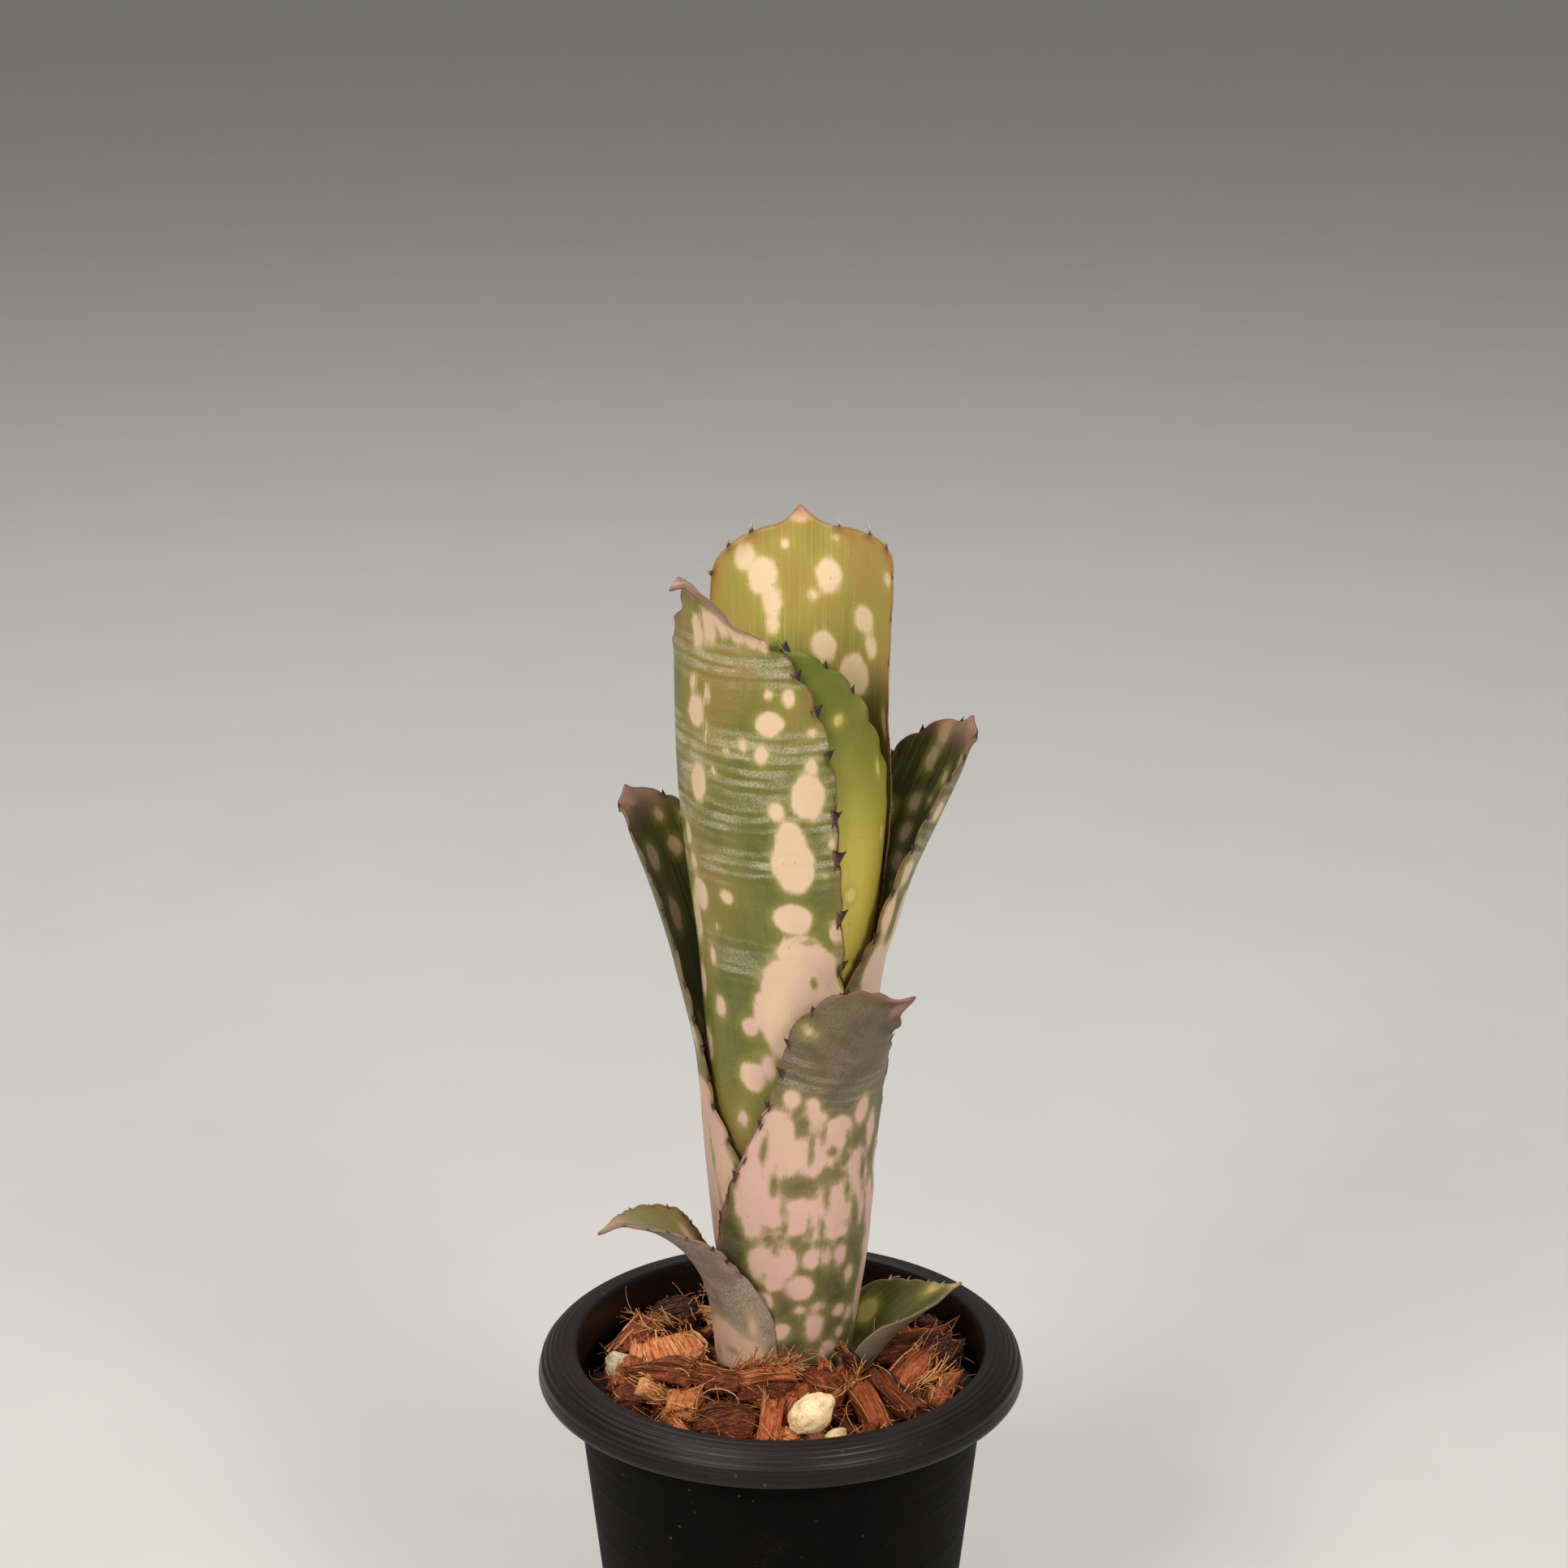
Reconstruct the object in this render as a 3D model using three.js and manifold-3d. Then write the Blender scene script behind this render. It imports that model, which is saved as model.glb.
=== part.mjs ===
// A young tube-forming bromeliad in a black plastic nursery pot.
//
// Eight strap leaves grow from one short stem. Their bases wrap round each other in thin layers and make
// a tall, slightly flared tube that stands in a bed of coconut husk chips. The pot has a rolled rim.
//
// Units are millimetres. +Z is up, the origin is the middle of the pot's foot and -Y is the front.
import * as THREE from 'three';
import { mergeVertices } from 'three/addons/utils/BufferGeometryUtils.js';
import Module from 'manifold-3d';

const wasm = await Module();
wasm.setup();

// Driving dimensions of the pot.
const POT = {
  height: 108,
  mouthRadius: 50.3,
  footRadius: 40,
  taper: 0.11, // growth of the radius for each millimetre of height
  wall: 1.2,
  floorLow: 2,
  floorHigh: 3.8,
  footRing: 3,
  neck: 4, // from the crest down to where the wall runs into the rim
  sides: 40,
};

// The rolled rim's section from under the lip, round it and back to the mouth, as distances outwards from
// the mouth and down from the crest.
const RIM_SECTION = [
  [2.4, 2.3], [4.8, 3], [6.5, 5], [8, 7], [8.3, 8.2], [9.4, 8.2], [9.7, 6.8],
  [8.8, 4.1], [6.9, 1.9], [4.3, 0.5], [1.6, 0], [0.5, 0.35], [0, 1.2],
];
const DRAIN = { count: 5, radius: 3.5, circle: 25, depth: 6, sides: 10 };

// The bed of husk chips, which is highest round the plant and falls to the wall.
const CLEARANCE = 0.35; // gap between pieces that touch on the real thing
const BED = {
  atPlant: 101, atWall: 97.5, floor: POT.floorHigh + CLEARANCE, lip: 1.5, headroom: 12,
  rings: [0.75, 0.5, 0.25], // where the domed top has corners, as shares of the radius
};
const CHIPS = {
  count: 36, seed: 11, length: [10, 18], width: [6, 10], height: [4, 6.5],
  inner: 19.5, outer: 44, ragged: 0.16, tilt: 0.3, sink: 0.1, stray: 0.4, fromWall: 1,
};

// Chips that stand out from the bed: middle, [length, width, height], turn about +Z and pitch, in degrees.
const CHIPS_APART = [
  { at: [-29, 24, 103.5], size: [15, 12, 8], turn: 20, pitch: 8 },
  { at: [-27.5, -6, 103.4], size: [20, 13, 6], turn: -12, pitch: -6 },
  { at: [-36, -12, 101.5], size: [9, 9, 8], turn: 10, pitch: 0 },
  { at: [-12, -31, 101], size: [12, 9, 7], turn: 4, pitch: 5 },
  { at: [-3, -34, 102], size: [13, 5, 5], turn: 80, pitch: 25 },
  { at: [19.5, -12.5, 106], size: [15, 4, 4.5], turn: 20, pitch: -52 },
  { at: [36, -14, 102.5], size: [17, 7, 6], turn: 35, pitch: 12 },
];

// Pumice stones on the bed: middle, half-sizes and turn about +Z in degrees.
const STONES = [
  {
    name: 'pumice_large', at: [8.4, -34, 103.3], half: [6.3, 4.6, 4.2], turn: 15, detail: 2, seed: 2,
    colour: 0xdcc594,
  },
  {
    name: 'pumice_grey', at: [-39.6, -5, 103.4], half: [4.2, 3.6, 3.4], turn: -30, detail: 1, seed: 6,
    colour: 0xa89c86,
  },
  {
    name: 'pumice_chip', at: [16, -37.6, 102.2], half: [2.3, 1.8, 1.7], turn: 40, detail: 1, seed: 9,
    colour: 0xc9b184,
  },
];
// Lumps of the stones: how many, how high as a share of the size, how close together and how shifted.
const LUMPS = { count: 4, height: 0.16, waves: 4, shift: 9 };

// The plant's own frame: its axis on the bed, with heights counted from the bed.
const PLANT = new THREE.Vector3(2.6, 3, 101.5);

// The tube of leaf bases: inner radius of the innermost leaf by height, the step from one leaf to the next
// and how far the tube's axis wanders sideways by height.
const TUBE = {
  radius: [[-14, 6.4], [0, 7.4], [38, 11.8], [60, 14], [98, 16.8], [125, 19.9], [150, 22.2], [215, 22.7]],
  layer: 1.3,
  axis: [[-20, 0], [0, 0], [45, 1.2], [100, 0.2], [163, -1.5], [215, -1.5]],
};
const LOW_LAYER = 6; // the leaves from this layer outwards lie in the bed
const LEAF_ROOM = 0.5; // room cut in the bed round a blade that lies in it
const GROWN_SHARE = 0.1; // how much a grown blade widens for each millimetre that it thickens
const BLADE = { middle: 0.85, edge: 0.62, columns: 12, crowding: 0.5, widestWrap: 2.55, settle: 20 };
const MIDRIB = { stationGap: 20, tension: 0.5, divisions: 400 };
const SPINE = {
  length: 2.5, base: 2, thickness: 0.6, lean: 0.5, root: 0.7, scale: [0.8, 1.1], spacing: [0.75, 1.25],
};

// Each leaf: azimuth in degrees from the front, positive towards +X; layer counted outwards from the
// innermost leaf; leave is the height where the midrib leaves the tube; beyond holds the midrib's later
// points as outwards, sideways and up; halfWidth is arc width at shares of the length and lopsided how much
// wider one half is; open widens the curl towards the tip; shoulder is how far the rounded top falls to the
// margins, and power its shape; point is the length of the soft tip and pointShare its half-width as a
// share of the blade's; spines start at spineFrom along the blade and are about spineGap apart.
const LEAVES = [
  {
    name: 'leaf_inner_young', azimuth: -4, layer: 0, leave: 178,
    beyond: [[22.4, 0, 192]],
    halfWidth: [[0, 14], [0.3, 20], [0.6, 22], [0.75, 29], [1, 30]], lopsided: 0,
    open: 1, shoulder: 45, power: 1.6, point: 2, pointShare: 0.12,
    rows: 15, spineFrom: 75, spineGap: 12, seed: 3, colour: 0x8f9f3c,
  },
  {
    name: 'leaf_back_tall', azimuth: 172, layer: 1, leave: 170,
    beyond: [[24.1, 0, 190], [24.6, 0, 212]],
    halfWidth: [[0, 16], [0.2, 22], [0.5, 27], [0.8, 28.5], [1, 28]], lopsided: -0.2,
    open: 1.06, shoulder: 12, power: 2.5, point: 4.5, pointShare: 0.25,
    rows: 14, spineFrom: 70, spineGap: 11, seed: 5, colour: 0x9a9d55,
  },
  {
    name: 'leaf_front_left', azimuth: -42, layer: 2, leave: 188,
    beyond: [[26.4, 0, 196], [29.5, 0, 203.5], [34, 0, 208], [38.5, 0, 207.5]],
    halfWidth: [[0, 17], [0.3, 24], [0.5, 27], [0.7, 29], [1, 29]], lopsided: 0,
    open: 1, shoulder: 46, power: 1.95, point: 16, pointShare: 0.34,
    rows: 20, spineFrom: 60, spineGap: 12, seed: 8, colour: 0x8d9058,
  },
  {
    name: 'leaf_right', azimuth: 108, layer: 3, leave: 106,
    beyond: [[24.2, 0, 115], [28.5, 0, 127], [36, 0, 141], [42, 0, 153], [45.6, 0, 163]],
    halfWidth: [[0, 18], [0.3, 25], [0.6, 28], [0.72, 22], [1, 18]], lopsided: 0,
    open: 1, shoulder: 20, power: 1.9, point: 4, pointShare: 0.25,
    rows: 15, spineFrom: 55, spineGap: 11, seed: 13, colour: 0x5c6b3c,
  },
  {
    name: 'leaf_left', azimuth: -116, layer: 4, leave: 76,
    beyond: [[22.6, 0, 87], [26.8, 0, 102], [33, 0, 121], [39, 0, 136], [43, 0, 147]],
    halfWidth: [[0, 19], [0.25, 23], [0.42, 26], [0.55, 19], [1, 16]], lopsided: 0,
    open: 1, shoulder: 16, power: 1.9, point: 4, pointShare: 0.25,
    rows: 15, spineFrom: 50, spineGap: 11, seed: 17, colour: 0x66704a,
  },
  {
    name: 'leaf_front_right', azimuth: 24, layer: 5, leave: 62,
    beyond: [[25, 4, 84], [29.5, 9, 99], [34, 15, 108]],
    halfWidth: [[0, 19], [0.35, 20.5], [0.55, 21.5], [0.75, 22], [1, 22]], lopsided: 0,
    open: 1, shoulder: 46, power: 1.8, point: 4, pointShare: 0.2,
    rows: 12, spineFrom: 44, spineGap: 10, seed: 22, colour: 0xb9a892,
  },
  {
    name: 'leaf_low_right', azimuth: 92, layer: 6, leave: -10,
    beyond: [[17.5, 0, -3], [21.6, 0, 2.5], [25.5, 0, 7], [31.5, 0, 12], [37.5, 0, 16.5], [42.5, 0, 20]],
    halfWidth: [[0, 13], [0.4, 14.5], [0.7, 13], [1, 9]], lopsided: 0,
    open: 1, shoulder: 22, power: 1.35, point: 2, pointShare: 0.15,
    rows: 9, spineFrom: 24, spineGap: 6.5, seed: 26, colour: 0x626e48,
  },
  {
    name: 'leaf_low_left', azimuth: -68, layer: 7, leave: 12,
    beyond: [[19.4, 0, 21], [22, 0, 28], [26.5, 0, 34.5], [34, 0, 41], [42, 0, 44], [48.4, 0, 42.5]],
    halfWidth: [[0, 16], [0.4, 16.5], [0.55, 13.5], [0.75, 12], [1, 9]], lopsided: 0,
    open: 0.8, shoulder: 24, power: 1.35, point: 3, pointShare: 0.15,
    rows: 12, spineFrom: 40, spineGap: 6.5, seed: 30, colour: 0x9c9382,
  },
];
const BOTTOM = { innermost: -2, step: -1.5 }; // height of each leaf's cut base, lower for outer layers
const OUTERMOST = { layer: LEAVES.length - 1 };

// The stem: a squat cone inside and under the cut leaf bases, in the plant's frame.
const STEM = { foot: -22, footRadius: 9, rim: 1.5, top: 6, topRadius: 3.2, below: 0.6, sides: 24 };

// The hole in the bed round the outermost leaf base and the stem.
const HOLE = { top: 14, sides: 24, slack: 0.45 };

const COLOURS = { pot: 0x1d1b1c, husk: 0x8c4a24, stem: 0xb9a878 };
const ROUGHNESS = { pot: 0.42, husk: 0.9, stone: 0.85, stem: 0.8, leaf: 0.5 };

function seededRandom(seed) {
  let state = seed >>> 0;
  return () => {
    state = (state + 0x6d2b79f5) >>> 0;
    let t = state;
    t = Math.imul(t ^ (t >>> 15), t | 1);
    t ^= t + Math.imul(t ^ (t >>> 7), t | 61);
    return ((t ^ (t >>> 14)) >>> 0) / 4294967296;
  };
}

const UP = new THREE.Vector3(0, 0, 1);
const GOLDEN_ANGLE = Math.PI * (3 - Math.sqrt(5));
const clamp01 = (x) => Math.min(1, Math.max(0, x));
const smooth = (x) => clamp01(x) ** 2 * (3 - 2 * clamp01(x));
const between = (range, share) => range[0] + (range[1] - range[0]) * share;

// A smooth value through [place, value] stations.
function atStations(stations, x) {
  const last = stations.length - 1;
  if (x <= stations[0][0]) return stations[0][1];
  if (x >= stations[last][0]) return stations[last][1];
  let i = 0;
  while (x > stations[i + 1][0]) i += 1;
  const [x0, y0] = stations[i];
  const [x1, y1] = stations[i + 1];
  const slope = (j) => {
    const a = stations[Math.max(0, j - 1)];
    const b = stations[Math.min(last, j + 1)];
    return (b[1] - a[1]) / (b[0] - a[0]);
  };
  const span = x1 - x0;
  const t = (x - x0) / span;
  const m0 = slope(i) * span;
  const m1 = slope(i + 1) * span;
  return (2 * t ** 3 - 3 * t ** 2 + 1) * y0 + (t ** 3 - 2 * t ** 2 + t) * m0
    + (3 * t ** 2 - 2 * t ** 3) * y1 + (t ** 3 - t ** 2) * m1;
}

// A closed solid, with its faces turned outwards, from corner points and triangles.
function solidOf(points, triangles) {
  const normal = new THREE.Vector3();
  let volume = 0;
  for (let i = 0; i < triangles.length; i += 3) {
    const [a, b, c] = [points[triangles[i]], points[triangles[i + 1]], points[triangles[i + 2]]];
    volume += a.dot(normal.crossVectors(b, c));
  }
  const vertProperties = new Float32Array(points.flatMap((point) => point.toArray()));
  const triVerts = new Uint32Array(volume < 0 ? [...triangles].reverse() : triangles);
  return new wasm.Manifold(new wasm.Mesh({ numProp: 3, vertProperties, triVerts }));
}

// The shared corner points and the triangles of a closed geometry.
function cornersOf(geometry) {
  geometry.deleteAttribute('normal');
  geometry.deleteAttribute('uv');
  const merged = mergeVertices(geometry);
  const { position } = merged.attributes;
  const points = [];
  for (let i = 0; i < position.count; i += 1) {
    points.push(new THREE.Vector3().fromBufferAttribute(position, i));
  }
  const triangles = [];
  for (let i = 0; i < merged.index.count; i += 3) {
    const corners = Array.from(merged.index.array.slice(i, i + 3));
    if (new Set(corners).size === 3) triangles.push(...corners);
  }
  return { points, triangles };
}

// A solid of revolution about +Z from [radius, height] points that start and end on the axis.
function turned(profile, sides) {
  const outline = profile.map(([radius, height]) => new THREE.Vector2(radius, height));
  const { points, triangles } = cornersOf(new THREE.LatheGeometry(outline, sides).rotateX(Math.PI / 2));
  return solidOf(points, triangles);
}

function joined(solids) {
  return solids.reduce((all, next) => all.add(next));
}

function meshOf(name, solid, color, roughness) {
  const { vertProperties, triVerts } = solid.getMesh();
  const geometry = new THREE.BufferGeometry();
  geometry.setAttribute('position', new THREE.BufferAttribute(vertProperties, 3));
  geometry.setIndex(new THREE.BufferAttribute(triVerts, 1));
  const material = new THREE.MeshStandardMaterial({ color, roughness, metalness: 0 });
  const mesh = new THREE.Mesh(geometry, material);
  mesh.name = name;
  return mesh;
}

// The pot.
const potOuterRadius = (z) => POT.footRadius + POT.taper * z;
const potInnerRadius = (z) => potOuterRadius(z) - POT.wall;

function potSolid() {
  const neck = POT.height - POT.neck;
  const ringInside = POT.footRadius - POT.footRing;
  let pot = turned([
    [0, POT.floorLow],
    [ringInside, POT.floorLow],
    [ringInside, 0],
    [POT.footRadius, 0],
    [potOuterRadius(neck), neck],
    ...RIM_SECTION.map(([out, down]) => [POT.mouthRadius + out, POT.height - down]),
    [potInnerRadius(neck), neck],
    [potInnerRadius(POT.floorHigh), POT.floorHigh],
    [0, POT.floorHigh],
  ], POT.sides);
  for (let i = 0; i < DRAIN.count; i += 1) {
    const angle = (2 * Math.PI * (i + 0.5)) / DRAIN.count;
    const { radius, depth } = DRAIN;
    const hole = turned([[0, 0], [radius, 0], [radius, depth], [0, depth]], DRAIN.sides);
    pot = pot.subtract(hole.translate([DRAIN.circle * Math.cos(angle), DRAIN.circle * Math.sin(angle), 0]));
  }
  return pot;
}

// The leaves. Heights, radii and midrib points are in the plant's frame.
const tubeRadius = (z) => atStations(TUBE.radius, z);
const layerRadius = (leaf, z) => tubeRadius(z) + leaf.layer * TUBE.layer;
const bottomOf = (leaf) => BOTTOM.innermost + BOTTOM.step * leaf.layer;

function growMidrib(leaf) {
  const azimuth = THREE.MathUtils.degToRad(leaf.azimuth);
  const out = new THREE.Vector3(Math.sin(azimuth), -Math.cos(azimuth), 0);
  const side = new THREE.Vector3(Math.cos(azimuth), Math.sin(azimuth), 0);
  const bottom = bottomOf(leaf);
  const steps = Math.max(1, Math.round((leaf.leave - bottom) / MIDRIB.stationGap));
  const stations = [];
  for (let i = 0; i <= steps; i += 1) {
    const z = bottom + ((leaf.leave - bottom) * i) / steps;
    stations.push([layerRadius(leaf, z), 0, z]);
  }
  stations.push(...leaf.beyond);
  const points = stations.map(([o, s, z]) => (
    new THREE.Vector3(0, 0, z).addScaledVector(out, o).addScaledVector(side, s)
  ));
  const curve = new THREE.CatmullRomCurve3(points, false, 'catmullrom', MIDRIB.tension);
  curve.arcLengthDivisions = MIDRIB.divisions;
  return { curve, out, side, length: curve.getLength() };
}

// The leaf's frame at a length along its midrib: sections are level in the tube and square to the blade
// beyond it.
function frameAt(leaf, rib, length) {
  const share = clamp01(length / rib.length);
  const place = rib.curve.getPointAt(share);
  const along = rib.curve.getTangentAt(share);
  const level = rib.out.clone().negate();
  const across = rib.side.clone().addScaledVector(along, -rib.side.dot(along)).normalize();
  const square = new THREE.Vector3().crossVectors(along, across);
  const free = place.z - leaf.leave;
  const inward = level.lerp(square, smooth(free / BLADE.settle)).normalize();
  across.addScaledVector(inward, -across.dot(inward)).normalize();
  const opened = THREE.MathUtils.lerp(1, leaf.open, smooth(free / (leaf.beyond.at(-1)[2] - leaf.leave)));
  const curl = layerRadius(leaf, Math.min(place.z, leaf.leave)) * opened;
  return { place, across, inward, curl };
}

// Where the column at share s of the half-width ends, counted along the midrib.
function columnLength(leaf, rib, s) {
  const a = Math.abs(s);
  const round = 1 - (1 - a ** leaf.power) ** (1 / leaf.power);
  const tip = clamp01(1 - a / leaf.pointShare) ** 2;
  return rib.length - leaf.shoulder * round - leaf.point * (1 - tip);
}

// A point of the blade: s runs from -1 to 1 across it, and lift is how far out it is from the inner face.
function bladePoint(leaf, rib, s, length, lift) {
  const { place, across, inward, curl } = frameAt(leaf, rib, length);
  const wide = atStations(leaf.halfWidth, length / rib.length) * (1 + leaf.lopsided * Math.sign(s));
  const turn = s * Math.min(wide / curl, BLADE.widestWrap);
  const point = place.clone()
    .addScaledVector(inward, curl - (curl + lift) * Math.cos(turn))
    .addScaledVector(across, (curl + lift) * Math.sin(turn));
  point.x += atStations(TUBE.axis, point.z);
  return point;
}

const thicknessAt = (s) => BLADE.middle - (BLADE.middle - BLADE.edge) * Math.abs(s) ** 3;

// The blade's corners by row and column, as pairs on its inner and outer face. A grown blade is thicker and
// wider all round, for cutting room for it.
function bladeGrid(leaf, rib, grow = 0) {
  const grid = [];
  for (let j = 0; j <= leaf.rows; j += 1) {
    const row = [];
    for (let i = 0; i <= BLADE.columns; i += 1) {
      const even = (2 * i) / BLADE.columns - 1;
      const s = THREE.MathUtils.lerp(even, Math.sin((Math.PI / 2) * even), BLADE.crowding);
      const length = ((columnLength(leaf, rib, s) + grow) * j) / leaf.rows;
      const wide = s * (1 + grow * GROWN_SHARE);
      row.push({
        s,
        length,
        inner: bladePoint(leaf, rib, wide, length, -grow),
        outer: bladePoint(leaf, rib, wide, length, thicknessAt(s) + grow),
      });
    }
    grid.push(row);
  }
  return grid;
}

function bladeSolid(grid) {
  const rows = grid.length - 1;
  const columns = grid[0].length - 1;
  const cells = grid.flat();
  const points = [...cells.map((cell) => cell.inner), ...cells.map((cell) => cell.outer)];
  const across = columns + 1;
  const back = cells.length;
  const triangles = [];
  const quad = (a, b, c, d) => triangles.push(a, b, c, a, c, d);
  for (let j = 0; j < rows; j += 1) {
    for (let i = 0; i < columns; i += 1) {
      const a = j * across + i;
      quad(a, a + across, a + across + 1, a + 1);
      triangles.push(back + a, back + a + across + 1, back + a + across);
      triangles.push(back + a, back + a + 1, back + a + across + 1);
    }
  }
  for (let j = 0; j < rows; j += 1) {
    const left = j * across;
    const right = left + columns;
    quad(left, back + left, back + left + across, left + across);
    quad(right, right + across, back + right + across, back + right);
  }
  for (let i = 0; i < columns; i += 1) {
    const top = rows * across + i;
    quad(i, i + 1, back + i + 1, back + i);
    quad(top, back + top, back + top + 1, top + 1);
  }
  return solidOf(points, triangles);
}

// The free edge from the first spine up one margin and over the rounded top to the soft tip, with the
// neighbour further into the blade for each corner.
function freeEdge(leaf, grid, side) {
  const columns = grid[0].length - 1;
  const column = (i) => (side < 0 ? i : columns - i);
  const top = grid[grid.length - 1];
  const edge = [];
  grid.forEach((row) => {
    const cell = row[column(0)];
    if (cell.length >= leaf.spineFrom) edge.push({ ...cell, inside: row[column(1)] });
  });
  for (let i = 1; i < columns / 2; i += 1) {
    const cell = top[column(i)];
    const inside = grid[grid.length - 2][column(i)];
    if (Math.abs(cell.s) > leaf.pointShare) edge.push({ ...cell, inside });
  }
  return edge;
}

const middleOf = (cell) => cell.inner.clone().lerp(cell.outer, 0.5);

// A spine at a share of the way from one corner of the free edge to the next.
function spineSolid(from, to, share, scale) {
  const at = middleOf(from).lerp(middleOf(to), share);
  const along = middleOf(to).sub(middleOf(from)).normalize();
  const normal = from.outer.clone().sub(from.inner).lerp(to.outer.clone().sub(to.inner), share).normalize();
  const away = new THREE.Vector3().crossVectors(along, normal).normalize();
  if (away.dot(middleOf(from.inside).sub(middleOf(from))) > 0) away.negate();
  const foot = at.clone().addScaledVector(away, -SPINE.root);
  const corner = (a, n) => foot.clone()
    .addScaledVector(along, (a * SPINE.base * scale) / 2)
    .addScaledVector(normal, (n * SPINE.thickness) / 2);
  const apex = at.clone()
    .addScaledVector(away, SPINE.length * scale)
    .addScaledVector(along, SPINE.length * SPINE.lean * scale);
  const points = [corner(-1, -1), corner(1, -1), corner(1, 1), corner(-1, 1), apex];
  return solidOf(points, [0, 1, 2, 0, 2, 3, 1, 0, 4, 2, 1, 4, 3, 2, 4, 0, 3, 4]);
}

function spineSolids(leaf, grid) {
  const random = seededRandom(leaf.seed);
  const spines = [];
  for (const side of [-1, 1]) {
    const edge = freeEdge(leaf, grid, side);
    let due = leaf.spineGap * random();
    for (let i = 1; i < edge.length; i += 1) {
      const run = middleOf(edge[i]).distanceTo(middleOf(edge[i - 1]));
      while (due < run) {
        spines.push(spineSolid(edge[i - 1], edge[i], due / run, between(SPINE.scale, random())));
        due += leaf.spineGap * between(SPINE.spacing, random());
      }
      due -= run;
    }
  }
  return spines;
}

function leafSolid(leaf) {
  const grid = bladeGrid(leaf, growMidrib(leaf));
  return joined([bladeSolid(grid), ...spineSolids(leaf, grid)]).translate(PLANT.toArray());
}

function stemSolid() {
  const inner = BOTTOM.innermost - STEM.below;
  const outer = bottomOf(OUTERMOST) - STEM.below;
  return turned([
    [0, STEM.foot],
    [STEM.footRadius, STEM.foot],
    [layerRadius(OUTERMOST, outer) + BLADE.middle, outer - STEM.rim],
    [layerRadius(OUTERMOST, outer) + BLADE.middle, outer],
    [layerRadius(OUTERMOST, outer), outer],
    [tubeRadius(inner) - CLEARANCE, inner],
    [STEM.topRadius, STEM.top],
    [0, STEM.top],
  ], STEM.sides).translate(PLANT.toArray());
}

function plantHole() {
  const wide = (z) => layerRadius(OUTERMOST, z) + BLADE.middle + CLEARANCE + HOLE.slack;
  const outer = bottomOf(OUTERMOST) - STEM.below;
  return turned([
    [0, STEM.foot - CLEARANCE],
    [STEM.footRadius + CLEARANCE, STEM.foot - CLEARANCE],
    [wide(outer), outer - STEM.rim - CLEARANCE],
    [wide(outer), outer],
    [wide(0), 0],
    [wide(HOLE.top), HOLE.top],
    [0, HOLE.top],
  ], HOLE.sides).translate(PLANT.toArray());
}

// The bed of chips: a domed body that fills the pot, with chips lying and standing on it.
const bedHeight = (r) => between([BED.atPlant, BED.atWall], smooth(r / potInnerRadius(BED.atWall)));

function chipSolid(random, { at, size, turn, pitch }) {
  const box = cornersOf(new THREE.BoxGeometry(...size));
  const place = new THREE.Matrix4().makeRotationFromEuler(new THREE.Euler(0, pitch, turn, 'ZYX'));
  place.setPosition(...at);
  const points = box.points.map((corner) => {
    const ragged = size.map((width) => (random() - 0.5) * 2 * CHIPS.ragged * width);
    return corner.add(new THREE.Vector3(...ragged)).applyMatrix4(place);
  });
  return solidOf(points, box.triangles);
}

function chipSolids() {
  const random = seededRandom(CHIPS.seed);
  const chips = [];
  for (let i = 0; i < CHIPS.count; i += 1) {
    const share = (i + 0.5) / CHIPS.count;
    const r = Math.sqrt(between([CHIPS.inner ** 2, CHIPS.outer ** 2], share));
    const angle = i * GOLDEN_ANGLE + (random() - 0.5) * CHIPS.stray;
    const size = [CHIPS.length, CHIPS.width, CHIPS.height].map((range) => between(range, random()));
    const reach = potInnerRadius(BED.atWall) - CLEARANCE - size[0] / 2 - CHIPS.fromWall;
    const along = r > reach ? angle + Math.PI / 2 : random() * Math.PI;
    const at = [r * Math.cos(angle), r * Math.sin(angle), bedHeight(r) + size[2] * (0.5 - CHIPS.sink)];
    chips.push(chipSolid(random, { at, size, turn: along, pitch: (random() - 0.5) * 2 * CHIPS.tilt }));
  }
  for (const chip of CHIPS_APART) {
    const [turn, pitch] = [chip.turn, chip.pitch].map(THREE.MathUtils.degToRad);
    chips.push(chipSolid(random, { at: chip.at, size: chip.size, turn, pitch }));
  }
  return chips;
}

function stoneSolid(stone, grow = 0) {
  const ball = cornersOf(new THREE.IcosahedronGeometry(1, stone.detail));
  const random = seededRandom(stone.seed);
  const lumps = Array.from({ length: LUMPS.count }, () => (
    new THREE.Vector3(random() - 0.5, random() - 0.5, random() - 0.5)
  ));
  const turn = THREE.MathUtils.degToRad(stone.turn);
  const points = ball.points.map((way) => {
    const waves = lumps.map((lump) => Math.sin(LUMPS.waves * way.dot(lump) + LUMPS.shift * lump.x));
    const size = 1 + (LUMPS.height * waves.reduce((sum, wave) => sum + wave)) / waves.length;
    const half = new THREE.Vector3(...stone.half).multiplyScalar(size).addScalar(grow);
    return way.multiply(half).applyAxisAngle(UP, turn).add(new THREE.Vector3(...stone.at));
  });
  return solidOf(points, ball.triangles);
}

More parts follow.
